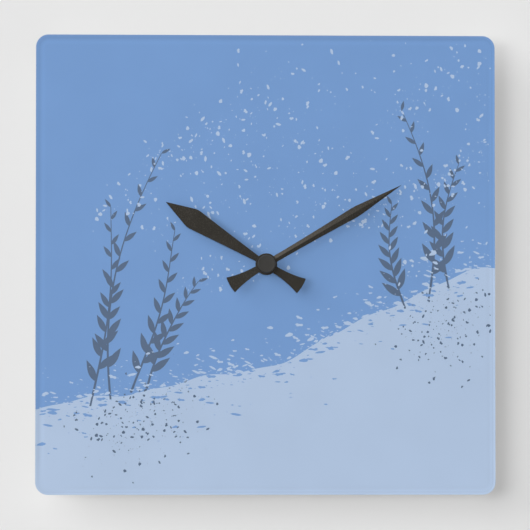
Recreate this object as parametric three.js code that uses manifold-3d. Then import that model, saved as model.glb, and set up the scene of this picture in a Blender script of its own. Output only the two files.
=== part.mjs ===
// Wall clock: a clear plate printed on its back face, on a battery movement with two hands.
// Lengths are millimetres. X is right and Z is up as seen from the front, and Y runs back to the wall.
// The origin is the hands' axis on the plane of the wall.
import * as THREE from 'three';
import { mergeVertices } from 'three/addons/utils/BufferGeometryUtils.js';
import Module from 'manifold-3d';

const wasm = await Module();
wasm.setup();

// Plate and print
const plateSide = 273;
const plateThickness = 3.2;
const plateCornerRadius = 7.5;
const plateHoleRadius = 4.2;
const printThickness = 0.2;

// Gasket, bush, washer and nut that hold the movement to the plate
const gasketRadius = 13;
const gasketThickness = 1;
const bushRadius = 4;
const bushShoulderRadius = 5.5;
const bushProud = 0.5;
const washerRadius = 6;
const washerThickness = 0.5;
const nutAcrossFlats = 10;
const nutFlats = 6;
const nutThickness = 1.8;

// Tubes and spindle that turn inside each other
const hourTubeRadius = 2.5;
const minuteTubeRadius = 1.5;
const spindleRadius = 0.45;

// Hands, with their widths across the blade and their places along it from the axis
const handThickness = 0.5;
const bossRadius = 6.4;
const colletRadius = 3.6;
const colletHeight = 0.7;
const handGap = 0.5;
const tailLength = 25;
const tailWidth = 9.8;
const tailNeckWidth = 4.1;
const hourLength = 69.6;
const hourRootWidth = 3.4;
const hourWaistWidth = 7.5;
const hourShoulderWidth = 12.4;
const hourShoulderAt = 52.3;
const minuteLength = 93.3;
const minuteRootWidth = 3.9;
const minuteWaistWidth = 4.1;
const minuteShoulderWidth = 6.4;
const minuteShoulderAt = 62;
const capRadius = 5.3;
const capHeight = 3.2;
const capBevel = 0.7;
const capBoreDepth = 2;

// Battery cell and the spaces at its ends
const batteryLength = 50.5;
const batteryRadius = 7.1;
const batteryNubLength = 1.4;
const batteryNubRadius = 2.7;
const batteryEdgeBevel = 0.6;
const springSpace = 2.2;

// Movement case
const caseWall = 1.2;
const caseCornerRadius = 2.5;
const hollowCornerRadius = 1.3;
const ribWall = 1;
const postRadius = 1.5;
const pinRadius = 0.8;
const pivotBossRadius = 1.3;
const pivotDepth = 0.6;
const tabWall = 0.8;
const tabDepth = 3;
const tabLength = 8;

// Wheel train: teeth, tooth modules and thicknesses
const wheelThickness = 0.9;
const levelGap = 0.4;
const arborRadius = 0.5;
const centreTeeth = 60;
const thirdPinionTeeth = 8;
const thirdTeeth = 64;
const secondsPinionTeeth = 8;
const secondsTeeth = 60;
const intermediatePinionTeeth = 10;
const intermediateTeeth = 50;
const rotorTeeth = 10;
const minutePinionTeeth = 12;
const motionTeeth = 36;
const motionPinionTeeth = 10;
const hourTeeth = 40;
const settingTeeth = 18;
const centreModule = 0.3;
const secondsModule = 0.25;
const rotorModule = 0.2;
const motionModule = 0.33;

// Stepping motor
const magnetRadius = 2.7;
const magnetThickness = 2.2;
const magnetGap = 0.8;
const stripThickness = 0.8;
const coilLength = 16;
const coilRadius = 2.9;
const bobbinFlangeRadius = 3.3;
const bobbinFlangeWall = 0.6;
const bobbinCoreRadius = 1.8;
const coreBarWidth = 2.4;
const earWidth = 4;

// Circuit board and contact strips
const boardThickness = 1;
const chipRadius = 2.4;
const chipHeight = 0.9;
const crystalRadius = 1;
const crystalLength = 6;
const contactThickness = 0.3;
const contactWidth = 4;

// Setting knob
const knobRadius = 4.6;
const knobThickness = 2.4;
const knobRidgeHeight = 0.8;
const stemRadius = 1.5;
const wellWall = 0.8;

// Hanger on top of the case
const hangerWidth = 18;
const hangerHeight = 15;
const hangerThickness = 3;
const hangerEyeWidth = 10;
const hangerEyeHeight = 9;
const hangerBand = 2.5;
const hangerCrownShare = 0.72;
const hangerFootWidth = 24;
const hangerFootDepth = 8;
const hangerFootThickness = 1.5;

// Clearances
const tubeGap = 0.2;
const fitGap = 0.05;
const seatGap = 0.3;
const cutOverrun = 1;

// Facets of round parts
const wideFacets = 36;
const roundFacets = 24;
const smallFacets = 10;
const cornerSteps = 3;

const degree = Math.PI / 180;
const turn = 2 * Math.PI;

// Directions of one arbor from another, anticlockwise from X as seen from the front
const thirdDirection = 0;
const intermediateDirection = 75 * degree;
const rotorDirection = 90 * degree;
const motionDirection = 150 * degree;
const settingDirection = 180 * degree;

// Hands at rest, clockwise from twelve
const hourAngle = 301 * degree;
const minuteAngle = 60 * degree;

// Arbor places
const thirdDistance = centreModule * (centreTeeth + thirdPinionTeeth) / 2;
const thirdModule = 2 * thirdDistance / (thirdTeeth + secondsPinionTeeth);
const intermediateDistance = secondsModule * (secondsTeeth + intermediatePinionTeeth) / 2;
const rotorDistance = rotorModule * (intermediateTeeth + rotorTeeth) / 2;
const motionDistance = motionModule * (motionTeeth + minutePinionTeeth) / 2;
const hourModule = 2 * motionDistance / (hourTeeth + motionPinionTeeth);
const settingDistance = motionModule * (motionTeeth + settingTeeth) / 2;
const centreAxis = new THREE.Vector2(0, 0);
const thirdAxis = stepFrom(centreAxis, thirdDistance, thirdDirection);
const intermediateAxis = stepFrom(centreAxis, intermediateDistance, intermediateDirection);
const rotorAxis = stepFrom(intermediateAxis, rotorDistance, rotorDirection);
const motionAxis = stepFrom(centreAxis, motionDistance, motionDirection);
const settingAxis = stepFrom(motionAxis, settingDistance, settingDirection);

// Post places, as shares of the train's reach to the third wheel's far side
const trainReach = thirdDistance + thirdModule * thirdTeeth / 2;
const postShares = [[-0.52, -0.4], [1.08, -0.4], [-0.47, 0.78], [0.78, 0.78]];
const posts = postShares.map(([x, z]) => new THREE.Vector2(x * trainReach, z * trainReach));

// Coil above the rotor's hole in the stator
const rotorHoleRadius = magnetRadius + magnetGap;
const rotorCollarRadius = rotorHoleRadius + stripThickness;
const coilZ = rotorAxis.y + rotorCollarRadius + levelGap + bobbinFlangeRadius;

// Case size: its hollow takes the cell with its contacts, and the coil above the train
const positiveSpace = seatGap + contactThickness + seatGap;
const cellHalf = (positiveSpace + batteryLength + springSpace) / 2;
const hollowHalf = Math.max(cellHalf, coilZ + bobbinFlangeRadius + levelGap);
const hollowSide = 2 * hollowHalf;
const caseSide = hollowSide + 2 * caseWall;
const caseDepth = caseWall + seatGap + 2 * batteryRadius + seatGap;
const batteryZ = tubeGap + batteryRadius - hollowHalf;
const batteryY = -seatGap - batteryRadius;
const ribZ = batteryZ + batteryRadius + seatGap;

// Planes of the case, front to back
const caseFront = -caseDepth;
const floorY = caseFront + caseWall;
const coverFront = -caseWall;

// Planes of the stack in front of the case, back to front
const gasketFront = caseFront - gasketThickness;
const printFront = gasketFront - printThickness;
const plateFront = printFront - plateThickness;
const washerFront = plateFront - washerThickness;
const nutFront = washerFront - nutThickness;
const bushFront = nutFront - bushProud;
const hourColletBack = bushFront - handGap;
const hourHandBack = hourColletBack - colletHeight;
const hourHandFront = hourHandBack - handThickness;
const hourTubeFront = hourHandFront - tubeGap;
const minuteColletBack = hourTubeFront - handGap;
const minuteHandBack = minuteColletBack - colletHeight;
const minuteHandFront = minuteHandBack - handThickness;
const minuteTubeFront = minuteHandFront - capBoreDepth + seatGap;
const spindleFront = minuteTubeFront + tubeGap;

// Levels of the train, front to back
const hourLevel = floorY + levelGap;
const motionLevel = hourLevel + wheelThickness + levelGap;
const centreLevel = motionLevel + wheelThickness + levelGap;
const thirdLevel = centreLevel + wheelThickness + levelGap;
const centrePlateFront = thirdLevel + wheelThickness + levelGap;
const centrePlateBack = centrePlateFront + stripThickness;
const secondsLevel = centrePlateBack + levelGap;
const intermediateLevel = secondsLevel + wheelThickness + levelGap;
const magnetFront = intermediateLevel + wheelThickness + levelGap;
const magnetBack = magnetFront + magnetThickness;
const statorFront = (magnetFront + magnetBack - stripThickness) / 2;
const statorBack = statorFront + stripThickness;

// Board between the case's corner, the knob's well and a post, with the strips' tabs behind it
const wellRadius = knobRadius + seatGap;
const boardLeft = seatGap + tubeGap - hollowHalf;
const boardRight = posts[2].x - postRadius - seatGap;
const boardTop = hollowHalf - seatGap - tubeGap;
const boardBottom = settingAxis.y + wellRadius + wellWall + seatGap;
const boardBack = batteryY + batteryNubLength;
const boardFront = boardBack - boardThickness;
const contactBack = boardBack + contactThickness;
const contactFront = contactBack - contactWidth;
const coilY = statorFront - stripThickness / 2;

// A point at a distance and direction from another
function stepFrom(start, distance, direction) {
  return new THREE.Vector2(
    start.x + distance * Math.cos(direction),
    start.y + distance * Math.sin(direction),
  );
}

// A closed geometry as a solid that can be cut and joined, without the flat triangles of a pole
function toSolid(geometry) {
  geometry.deleteAttribute('normal');
  geometry.deleteAttribute('uv');
  const merged = mergeVertices(geometry);
  const corners = merged.index.array;
  const kept = [];
  for (let i = 0; i < corners.length; i += 3) {
    const [a, b, c] = corners.slice(i, i + 3);
    if (a !== b && b !== c && c !== a) kept.push(a, b, c);
  }
  return new wasm.Manifold(new wasm.Mesh({
    numProp: 3,
    vertProperties: merged.attributes.position.array,
    triVerts: new Uint32Array(kept),
  }));
}

// A named mesh from a solid
function part(name, solid, material, place = centreAxis) {
  const made = solid.getMesh();
  const geometry = new THREE.BufferGeometry();
  geometry.setAttribute('position', new THREE.BufferAttribute(made.vertProperties, made.numProp));
  geometry.setIndex(new THREE.BufferAttribute(made.triVerts, 1));
  geometry.computeVertexNormals();
  const mesh = new THREE.Mesh(geometry, material);
  mesh.name = name;
  mesh.position.set(place.x, 0, place.y);
  return mesh;
}

// A flat outline in X and Z, made thick from front to back
function slab(shape, front, back) {
  const settings = { depth: back - front, bevelEnabled: false, curveSegments: cornerSteps };
  const geometry = new THREE.ExtrudeGeometry(shape, settings);
  geometry.rotateX(Math.PI / 2);
  geometry.translate(0, back, 0);
  return toSolid(geometry);
}

// A round rod along Y at a place in X and Z
function rod(radius, front, back, facets = roundFacets, place = centreAxis) {
  const geometry = new THREE.CylinderGeometry(radius, radius, back - front, facets);
  geometry.translate(place.x, (front + back) / 2, place.y);
  return toSolid(geometry);
}

// A round tube along Y
function tube(radius, bore, front, back, facets = roundFacets, place = centreAxis) {
  const hole = rod(bore, front - cutOverrun, back + cutOverrun, facets, place);
  return rod(radius, front, back, facets, place).subtract(hole);
}

// A round rod along X
function crossRod(radius, left, right, y, z, facets = roundFacets) {
  const geometry = new THREE.CylinderGeometry(radius, radius, right - left, facets);
  geometry.rotateZ(Math.PI / 2);
  geometry.translate((left + right) / 2, y, z);
  return toSolid(geometry);
}

// A solid turned about Y from radii and places along it, which start and end on the axis
function turned(profile, facets = roundFacets) {
  const points = profile.map(([radius, y]) => new THREE.Vector2(radius, y));
  return new THREE.LatheGeometry(points, facets);
}

// A box from its six planes
function block(left, right, front, back, bottom, top) {
  const geometry = new THREE.BoxGeometry(right - left, back - front, top - bottom);
  geometry.translate((left + right) / 2, (front + back) / 2, (bottom + top) / 2);
  return toSolid(geometry);
}

function fuse(...solids) {
  return solids.reduce((whole, piece) => whole.add(piece));
}

function cut(solid, ...tools) {
  return tools.reduce((rest, tool) => rest.subtract(tool), solid);
}

// A rectangle with round corners
function roundedOutline(left, right, bottom, top, radius) {
  const shape = new THREE.Shape();
  shape.absarc(right - radius, bottom + radius, radius, -turn / 4, 0);
  shape.absarc(right - radius, top - radius, radius, 0, turn / 4);
  shape.absarc(left + radius, top - radius, radius, turn / 4, turn / 2);
  shape.absarc(left + radius, bottom + radius, radius, turn / 2, 3 * turn / 4);
  return shape;
}

function squareOutline(side, radius) {
  return roundedOutline(-side / 2, side / 2, -side / 2, side / 2, radius);
}

// Tooth form, as shares of the module and of the pitch between teeth
const addendumShare = 0.85;
const dedendumShare = 1.2;
const toothTipShare = 0.1;
const toothRootShare = 0.28;

// A toothed wheel about its own centre, with one tooth in the direction of its phase
function gear(teeth, module, phase, front, back) {
  const pitchRadius = teeth * module / 2;
  const tipRadius = pitchRadius + addendumShare * module;
  const rootRadius = pitchRadius - dedendumShare * module;
  const corners = [
    [rootRadius, -toothRootShare],
    [tipRadius, -toothTipShare],
    [tipRadius, toothTipShare],
    [rootRadius, toothRootShare],
  ];
  const points = [];
  for (let tooth = 0; tooth < teeth; tooth += 1) {
    for (const [radius, share] of corners) {
      const direction = phase + (tooth + share) * turn / teeth;
      points.push(stepFrom(centreAxis, radius, direction));
    }
  }
  return slab(new THREE.Shape(points), front, back);
}

// The phase that puts a driven wheel's teeth in its driver's gaps, on the line between their centres
function meshedPhase(driverTeeth, driverPhase, direction, drivenTeeth) {
  const driverPitches = (direction - driverPhase) * driverTeeth / turn;
  const drivenPitches = 1 / 2 - driverPitches;
  return direction + turn / 2 - drivenPitches * turn / drivenTeeth;
}

const centrePhase = 0;
const thirdPinionPhase = meshedPhase(centreTeeth, centrePhase, thirdDirection, thirdPinionTeeth);
const thirdPhase = 0;
const secondsPinionPhase = meshedPhase(thirdTeeth, thirdPhase, thirdDirection + turn / 2, secondsPinionTeeth);
const secondsPhase = 0;
const intermediatePinionPhase = meshedPhase(
  secondsTeeth, secondsPhase, intermediateDirection, intermediatePinionTeeth);
const intermediatePhase = 0;
const rotorPhase = meshedPhase(intermediateTeeth, intermediatePhase, rotorDirection, rotorTeeth);
const minutePinionPhase = 0;
const motionPhase = meshedPhase(minutePinionTeeth, minutePinionPhase, motionDirection, motionTeeth);
const motionPinionPhase = 0;
const hourPhase = meshedPhase(motionPinionTeeth, motionPinionPhase, motionDirection + turn / 2, hourTeeth);
const settingPhase = meshedPhase(motionTeeth, motionPhase, settingDirection, settingTeeth);

// Colours and finishes
function finish(color, roughness, metalness = 0) {
  return new THREE.MeshStandardMaterial({ color, roughness, metalness });
}
const clearAcrylic = new THREE.MeshStandardMaterial({
  color: 0xe8f0f4, roughness: 0.08, transparent: true, opacity: 0.25,
});
const printInk = finish(0x7b9ccd, 0.6);
const darkPaint = finish(0x383736, 0.5);
const capPaint = finish(0x404040, 0.7);
const blackPlastic = finish(0x1b1b1d, 0.55);
const whitePlastic = finish(0xe9e7e0, 0.45);
const rubber = finish(0x202020, 0.9);
const brass = finish(0xb9924c, 0.35, 1);
const steel = finish(0xb4b6b8, 0.35, 1);
const copper = finish(0xa8582c, 0.4, 1);
const boardGreen = finish(0x2f5a3a, 0.5);
const epoxy = finish(0x101010, 0.4);
const ferrite = finish(0x4a4a4e, 0.6);
const cellSleeve = finish(0x2a2c30, 0.35);

// Plate, with a round hole on the axis
function acrylicPlate() {
  const body = slab(squareOutline(plateSide, plateCornerRadius), plateFront, printFront);
  return cut(body, rod(plateHoleRadius, plateFront - cutOverrun, printFront + cutOverrun));
}

function dialPrint() {
  const body = slab(squareOutline(plateSide, plateCornerRadius), printFront, gasketFront);
  return cut(body, rod(plateHoleRadius, printFront - cutOverrun, gasketFront + cutOverrun));
}

function rubberGasket() {
  return tube(gasketRadius, bushShoulderRadius + tubeGap, gasketFront, caseFront, wideFacets);
}

function brassWasher() {
  return tube(washerRadius, bushRadius + tubeGap, washerFront, plateFront, wideFacets);
}

function lockNut() {
  const cornerRadius = nutAcrossFlats / 2 / Math.cos(turn / 2 / nutFlats);
  const hexagon = rod(cornerRadius, nutFront, washerFront, nutFlats);
  const bore = rod(bushRadius + fitGap, nutFront - cutOverrun, washerFront + cutOverrun);
  return cut(hexagon, bore);
}

// Bush with a shoulder outside the case wall, set through the wall
function threadedBush() {
  const stem = rod(bushRadius, bushFront, floorY);
  const shoulder = rod(bushShoulderRadius, gasketFront + tubeGap, caseFront);
  const bore = rod(hourTubeRadius + tubeGap, bushFront - cutOverrun, floorY + cutOverrun);
  return cut(fuse(stem, shoulder), bore);
}

// Blade outlines: curve shares set how the flanks run between the named widths
const tailCurveShare = 0.62;
const waistCurveShare = 0.5;
const shoulderRoundShare = 0.05;
const tipRoundShare = 0.1;

// One hand in X and Z, pointing to twelve: a flared tail, and a blade that widens to a pointed tip
function handOutline(length, rootWidth, waistWidth, shoulderWidth, shoulderAt) {
  const tailHalf = tailWidth / 2;
  const neckHalf = tailNeckWidth / 2;
  const rootHalf = rootWidth / 2;
  const shoulder = new THREE.Vector2(shoulderWidth / 2, shoulderAt);
  const root = new THREE.Vector2(rootHalf, bossRadius / 2);
  const tip = new THREE.Vector2(0, length);
  const bladeEnd = shoulder.clone().lerp(root, shoulderRoundShare);
  const tipStart = shoulder.clone().lerp(tip, tipRoundShare);
  const side = new THREE.Path();
  side.absarc(0, 0, tailLength, -turn / 4, Math.asin(tailHalf / tailLength) - turn / 4);
  side.quadraticCurveTo(neckHalf, -tailCurveShare * tailLength, neckHalf, -bossRadius / 2);
  side.lineTo(root.x, root.y);
  side.quadraticCurveTo(waistWidth / 2, waistCurveShare * shoulderAt, bladeEnd.x, bladeEnd.y);
  side.quadraticCurveTo(shoulder.x, shoulder.y, tipStart.x, tipStart.y);
  side.lineTo(tip.x, tip.y);
  const right = side.getPoints(cornerSteps + 1);
  const left = right.slice(1, -1).map((point) => new THREE.Vector2(-point.x, point.y)).reverse();
  return new THREE.Shape([...right, ...left]);
}

// A flat hand with a round boss and a collet behind it
function hand(outline, colletBack, back, front, bore) {
  const blade = slab(outline, front, back);
  const boss = rod(bossRadius, front, back, wideFacets);
  const collet = rod(colletRadius, back - fitGap, colletBack);
  const hole = rod(bore, front - cutOverrun, colletBack + cutOverrun);
  return cut(fuse(blade, boss, collet), hole);
}

function hourHand() {
  const outline = handOutline(hourLength, hourRootWidth, hourWaistWidth, hourShoulderWidth, hourShoulderAt);
  return hand(outline, hourColletBack, hourHandBack, hourHandFront, hourTubeRadius + fitGap);
}

function minuteHand() {
  const outline = handOutline(
    minuteLength, minuteRootWidth, minuteWaistWidth, minuteShoulderWidth, minuteShoulderAt);
  return hand(outline, minuteColletBack, minuteHandBack, minuteHandFront, minuteTubeRadius + fitGap);
}

// Round cap with a bevelled rim and a blind bore
function capNut() {
  const capFront = minuteHandFront - capHeight;
  const body = turned([
    [0, capFront],
    [capRadius - capBevel, capFront],
    [capRadius, capFront + capBevel],
    [capRadius, minuteHandFront],
    [0, minuteHandFront],
  ], wideFacets);
  const boreFront = minuteHandFront - capBoreDepth;
  const bore = rod(minuteTubeRadius + fitGap, boreFront, minuteHandFront + cutOverrun);
  return cut(toSolid(body), bore);
}

// Front half of the case: walls, the battery bay's rib, posts, and pins and pivots for the train
function frontCase() {
  const shell = slab(squareOutline(caseSide, caseCornerRadius), caseFront, coverFront);
  const hollow = slab(squareOutline(hollowSide, hollowCornerRadius), floorY, coverFront + cutOverrun);
  const ribLeft = positiveSpace + seatGap - hollowHalf;
  const rib = block(ribLeft, -ribLeft, floorY - fitGap, coverFront - seatGap, ribZ, ribZ + ribWall);
  const platePosts = posts.map(
    (place) => rod(postRadius, floorY - fitGap, centrePlateFront, smallFacets, place));
  const platePins = posts.map(
    (place) => rod(pinRadius, centrePlateFront - fitGap, statorBack, smallFacets, place));
  const boardPosts = [boardLeft + postRadius, boardRight - postRadius].map((x) => {
    const place = new THREE.Vector2(x, boardTop - postRadius);
    return rod(postRadius, floorY - fitGap, boardFront, smallFacets, place);
  });
  const motionPin = rod(pinRadius, floorY - fitGap, motionLevel + wheelThickness, smallFacets, motionAxis);
  const bushHole = rod(bushRadius + fitGap, caseFront - cutOverrun, floorY + cutOverrun);
  const floorPivots = [thirdAxis, settingAxis].map((place) => rod(
    arborRadius + tubeGap, floorY - pivotDepth, floorY + cutOverrun, smallFacets, place));
  const body = fuse(cut(shell, hollow), rib, ...platePosts, ...platePins, ...boardPosts, motionPin);
  return cut(body, bushHole, ...floorPivots, ...hangerSlots());
}

// Feet of the hanger, which stand in two slots of the case's top wall
const hangerFootY = coverFront - tubeGap - hangerFootDepth / 2;
const hangerProngWidth = hangerFootDepth / 4;
const hangerProngX = hangerFootWidth / 2 - hangerProngWidth;

function hangerProngs(gap, depth) {
  const half = hangerProngWidth / 2 + gap;
  return [-hangerProngX, hangerProngX].map((x) => block(
    x - half, x + half, hangerFootY - half, hangerFootY + half, hollowHalf - depth, caseSide / 2 + depth));
}

function hangerSlots() {
  return hangerProngs(tubeGap, cutOverrun);
}

// An outline with a flat foot, sides that lean in and a rounded top
function crownedOutline(footHalf, crownHalf, bottom, top) {
  const crownZ = top - crownHalf;
  const shape = new THREE.Shape();
  shape.moveTo(-footHalf, bottom);
  shape.lineTo(footHalf, bottom);
  shape.lineTo(crownHalf, crownZ);
  shape.absarc(0, crownZ, crownHalf, 0, turn / 2);
  return shape;
}

// Loop that hangs on a nail, on a foot that lies on the case's top wall
function hanger() {
  const bottom = caseSide / 2;
  const top = bottom + hangerHeight;
  const back = coverFront;
  const front = back - hangerThickness;
  const eyeTop = top - hangerBand;
  const eyeBottom = eyeTop - hangerEyeHeight;
  const eyeHalf = hangerEyeWidth / 2;
  const loopShape = crownedOutline(hangerWidth / 2, hangerCrownShare * eyeHalf + hangerBand, bottom, top);
  const eye = crownedOutline(eyeHalf, hangerCrownShare * eyeHalf, eyeBottom, eyeTop);
  const loop = cut(slab(loopShape, front, back), slab(eye, front - cutOverrun, back + cutOverrun));
  const footHalf = hangerFootWidth / 2;
  const footFront = hangerFootY - hangerFootDepth / 2;
  const foot = block(-footHalf, footHalf, footFront, back, bottom, bottom + hangerFootThickness);
  return fuse(loop, foot, ...hangerProngs(0, 0));
}

// Rear half of the case: cover with the bay's opening, the knob's well and three pivot bosses
function rearCover() {
  const sheet = slab(squareOutline(caseSide, caseCornerRadius), coverFront, 0);
  const bayHalf = hollowHalf - contactThickness - tubeGap;
  const bayShape = roundedOutline(-bayHalf, bayHalf, -hollowHalf, ribZ, hollowCornerRadius);
  const bay = slab(bayShape, coverFront - cutOverrun, cutOverrun);
  const wellFloorBack = -seatGap - knobThickness - seatGap;
  const wellFloorFront = wellFloorBack - wellWall;
  const well = rod(wellRadius + wellWall, wellFloorFront, coverFront + fitGap, wideFacets, settingAxis);
  const wellHollow = rod(wellRadius, wellFloorBack, cutOverrun, wideFacets, settingAxis);
  const stemHole = rod(
    stemRadius + tubeGap, wellFloorFront - cutOverrun, cutOverrun, roundFacets, settingAxis);
  const bosses = [
    pivotBoss(secondsLevel + wheelThickness + levelGap, centreAxis),
    pivotBoss(intermediateLevel + wheelThickness + levelGap, intermediateAxis),
    pivotBoss(magnetBack + levelGap, rotorAxis),
  ];
  return fuse(cut(fuse(sheet, well), bay, wellHollow, stemHole), ...bosses, ...snapTabs());
}

// A round boss inside the cover with a blind hole for a pivot
function pivotBoss(front, place) {
  const boss = rod(pivotBossRadius, front, coverFront + fitGap, roundFacets, place);
  const depth = pivotDepth + tubeGap;
  const hole = rod(arborRadius + tubeGap, front - cutOverrun, front + depth, smallFacets, place);
  return cut(boss, hole);
}

// Tabs of the cover that stand inside the case's side walls
function snapTabs() {
  const outer = hollowHalf - tubeGap;
  const inner = outer - tabWall;
  const tabFront = coverFront - tabDepth;
  const tabBottom = ribZ + ribWall + seatGap;
  const tabTop = tabBottom + tabLength;
  return [[-outer, -inner], [inner, outer]].map(
    ([left, right]) => block(left, right, tabFront, coverFront + fitGap, tabBottom, tabTop));
}

// Plate between the two levels of wheels, on the case's posts
function centrePlate() {
  const left = posts[0].x - postRadius;
  const right = posts[1].x + postRadius;
  const bottom = posts[0].y - postRadius;
  const top = posts[2].y + postRadius;
  const shape = new THREE.Shape();
  shape.moveTo(left, bottom);
  shape.lineTo(right, bottom);
  shape.lineTo(right, bottom + postRadius + postRadius);
  shape.lineTo(posts[3].x + postRadius, top);
  shape.lineTo(left, top);
  const plate = slab(shape, centrePlateFront, centrePlateBack);
  const through = (radius, place) => rod(
    radius, centrePlateFront - cutOverrun, centrePlateBack + cutOverrun, smallFacets, place);
  const pivots = [centreAxis, thirdAxis, intermediateAxis, rotorAxis].map(
    (place) => through(arborRadius + tubeGap, place));
  return cut(plate, ...pivots, ...posts.map((place) => through(pinRadius + tubeGap, place)));
}

// Sleeve of the cell, with bevelled ends
function batteryCan() {
  const left = positiveSpace - hollowHalf + batteryNubLength;
  const right = left + batteryLength - batteryNubLength;
  const endRadius = batteryRadius - batteryEdgeBevel;
  const can = turned([
    [0, left],
    [endRadius, left],
    [batteryRadius, left + batteryEdgeBevel],
    [batteryRadius, right - batteryEdgeBevel],
    [endRadius, right],
    [0, right],
  ]);
  can.rotateZ(-turn / 4);
  can.translate(0, batteryY, batteryZ);
  return toSolid(can);
}

// Positive pole of the cell
function batteryCap() {
  const left = positiveSpace - hollowHalf;
  return crossRod(batteryNubRadius, left, left + batteryNubLength, batteryY, batteryZ);
}

// Flat strip against the bay's end wall, with a tab on the board
function positiveContact() {
  const left = seatGap - hollowHalf;
  const right = left + contactThickness;
  const bottom = batteryZ - batteryNubRadius;
  const strip = block(left, right, contactFront, contactBack, bottom, boardBottom - seatGap);
  const half = contactWidth / 2;
  const tab = block(left, left + half, boardBack, contactBack, boardBottom - half, boardBottom + half);
  return fuse(strip, tab);
}

// Bent strip behind the cell's other end, led along the bay's rib to the board
function negativeContact() {
  const wallX = hollowHalf - seatGap;
  const springX = positiveSpace + batteryLength - hollowHalf + seatGap;
  const runZ = ribZ + ribWall + seatGap;
  const riseX = boardLeft + contactWidth - contactThickness;
  const foot = batteryZ - batteryNubRadius;
  const springHalf = batteryNubRadius / 2;
  const outer = [
    [wallX, foot - springHalf],
    [wallX, foot],
    [springX + contactThickness, batteryZ - springHalf],
    [springX + contactThickness, batteryZ + springHalf],
    [wallX, batteryZ + batteryNubRadius],
    [wallX, runZ + contactThickness],
    [riseX + contactThickness, runZ + contactThickness],
    [riseX + contactThickness, boardBottom - seatGap],
    [riseX, boardBottom - seatGap],
    [riseX, runZ],
    [wallX - contactThickness, runZ],
    [wallX - contactThickness, batteryZ + batteryNubRadius],
    [springX, batteryZ + springHalf],
    [springX, batteryZ - springHalf],
    [wallX - contactThickness, foot],
    [wallX - contactThickness, foot - springHalf],
  ];
  const shape = new THREE.Shape(outer.map(([x, z]) => new THREE.Vector2(x, z)));
  const tabBottom = boardBottom - contactWidth / 2;
  const tabTop = boardBottom + contactWidth / 2;
  const tabRight = riseX + contactWidth / 2;
  const tab = block(riseX, tabRight, boardBack, contactBack, tabBottom, tabTop);
  return fuse(slab(shape, contactFront, contactBack), tab);
}

function circuitBoard() {
  return block(boardLeft, boardRight, boardFront, boardBack, boardBottom, boardTop);
}

// Domed drop of resin over the timing chip
function timingChip() {
  const drop = new THREE.CylinderGeometry(chipRadius / 2, chipRadius, chipHeight, roundFacets);
  drop.translate((boardLeft + boardRight) / 2, boardBack + chipHeight / 2, (boardBottom + boardTop) / 2);
  return toSolid(drop);
}

function quartzCrystal() {
  const left = (boardLeft + boardRight - crystalLength) / 2;
  const y = boardBack + crystalRadius;
  return crossRod(crystalRadius, left, left + crystalLength, y, boardTop - chipRadius, smallFacets);
}

// Spool of the coil, with a slot through it for the core bar
function coilBobbin() {
  const left = rotorAxis.x - coilLength / 2;
  const right = left + coilLength;
  const flanges = [left, right - bobbinFlangeWall].map(
    (x) => crossRod(bobbinFlangeRadius, x, x + bobbinFlangeWall, coilY, coilZ));
  const spool = crossRod(bobbinCoreRadius, left, right, coilY, coilZ, smallFacets);
  return cut(fuse(spool, ...flanges), coreBar(left - cutOverrun, right + cutOverrun, tubeGap));
}

function coilWinding() {
  const left = rotorAxis.x - coilLength / 2 + bobbinFlangeWall + fitGap;
  const right = left + coilLength - 2 * (bobbinFlangeWall + fitGap);
  const hole = crossRod(
    bobbinCoreRadius + fitGap, left - cutOverrun, right + cutOverrun, coilY, coilZ, smallFacets);
  return cut(crossRod(coilRadius, left, right, coilY, coilZ), hole);
}

function coreBar(left, right, gap) {
  const half = coreBarWidth / 2 + gap;
  const front = statorFront - stripThickness - gap;
  return block(left, right, front, statorFront + gap, coilZ - half, coilZ + half);
}

function coilCore() {
  const half = coilLength / 2 + tubeGap + earWidth;
  return coreBar(rotorAxis.x - half, rotorAxis.x + half, 0);
}

// Stator: a strip round the rotor's hole, with an ear up to each end of the core bar
function stator() {
  const earOut = coilLength / 2 + tubeGap + earWidth;
  const left = rotorAxis.x - earOut;
  const right = rotorAxis.x + earOut;
  const bottom = rotorAxis.y - rotorHoleRadius + magnetGap / 2;
  const stripTop = rotorAxis.y + rotorCollarRadius;
  const top = coilZ + coreBarWidth / 2;
  const shape = new THREE.Shape();
  shape.moveTo(left, bottom);
  shape.lineTo(right, bottom);
  shape.lineTo(right, top);
  shape.lineTo(right - earWidth, top);
  shape.lineTo(right - earWidth, stripTop);
  shape.lineTo(left + earWidth, stripTop);
  shape.lineTo(left + earWidth, top);
  shape.lineTo(left, top);
  const body = slab(shape, statorFront, statorBack);
  const collar = rod(rotorCollarRadius, statorFront, statorBack, roundFacets, rotorAxis);
  const through = (radius, facets, place) => rod(
    radius, statorFront - cutOverrun, statorBack + cutOverrun, facets, place);
  const hole = through(rotorHoleRadius, roundFacets, rotorAxis);
  const pinHoles = [posts[2], posts[3]].map((place) => through(pinRadius + tubeGap, smallFacets, place));
  return cut(fuse(body, collar), hole, ...pinHoles);
}

// Arbor from one plane to another about its own centre
function arbor(front, back) {
  return rod(arborRadius, front, back, smallFacets);
}

function rotorMagnet() {
  return tube(magnetRadius, arborRadius + fitGap, magnetFront, magnetBack);
}

function rotorPinion() {
  const pinion = gear(
    rotorTeeth, rotorModule, rotorPhase, intermediateLevel, intermediateLevel + wheelThickness);
  return fuse(pinion, arbor(centrePlateFront + tubeGap, magnetBack + levelGap + pivotDepth));
}

function intermediateWheel() {
  const wheel = gear(
    intermediateTeeth, rotorModule, intermediatePhase, intermediateLevel, intermediateLevel + wheelThickness);
  const pinion = gear(
    intermediatePinionTeeth, secondsModule, intermediatePinionPhase, secondsLevel, intermediateLevel);
  const back = intermediateLevel + wheelThickness + levelGap + pivotDepth;
  return fuse(wheel, pinion, arbor(centrePlateFront + tubeGap, back));
}

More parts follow.
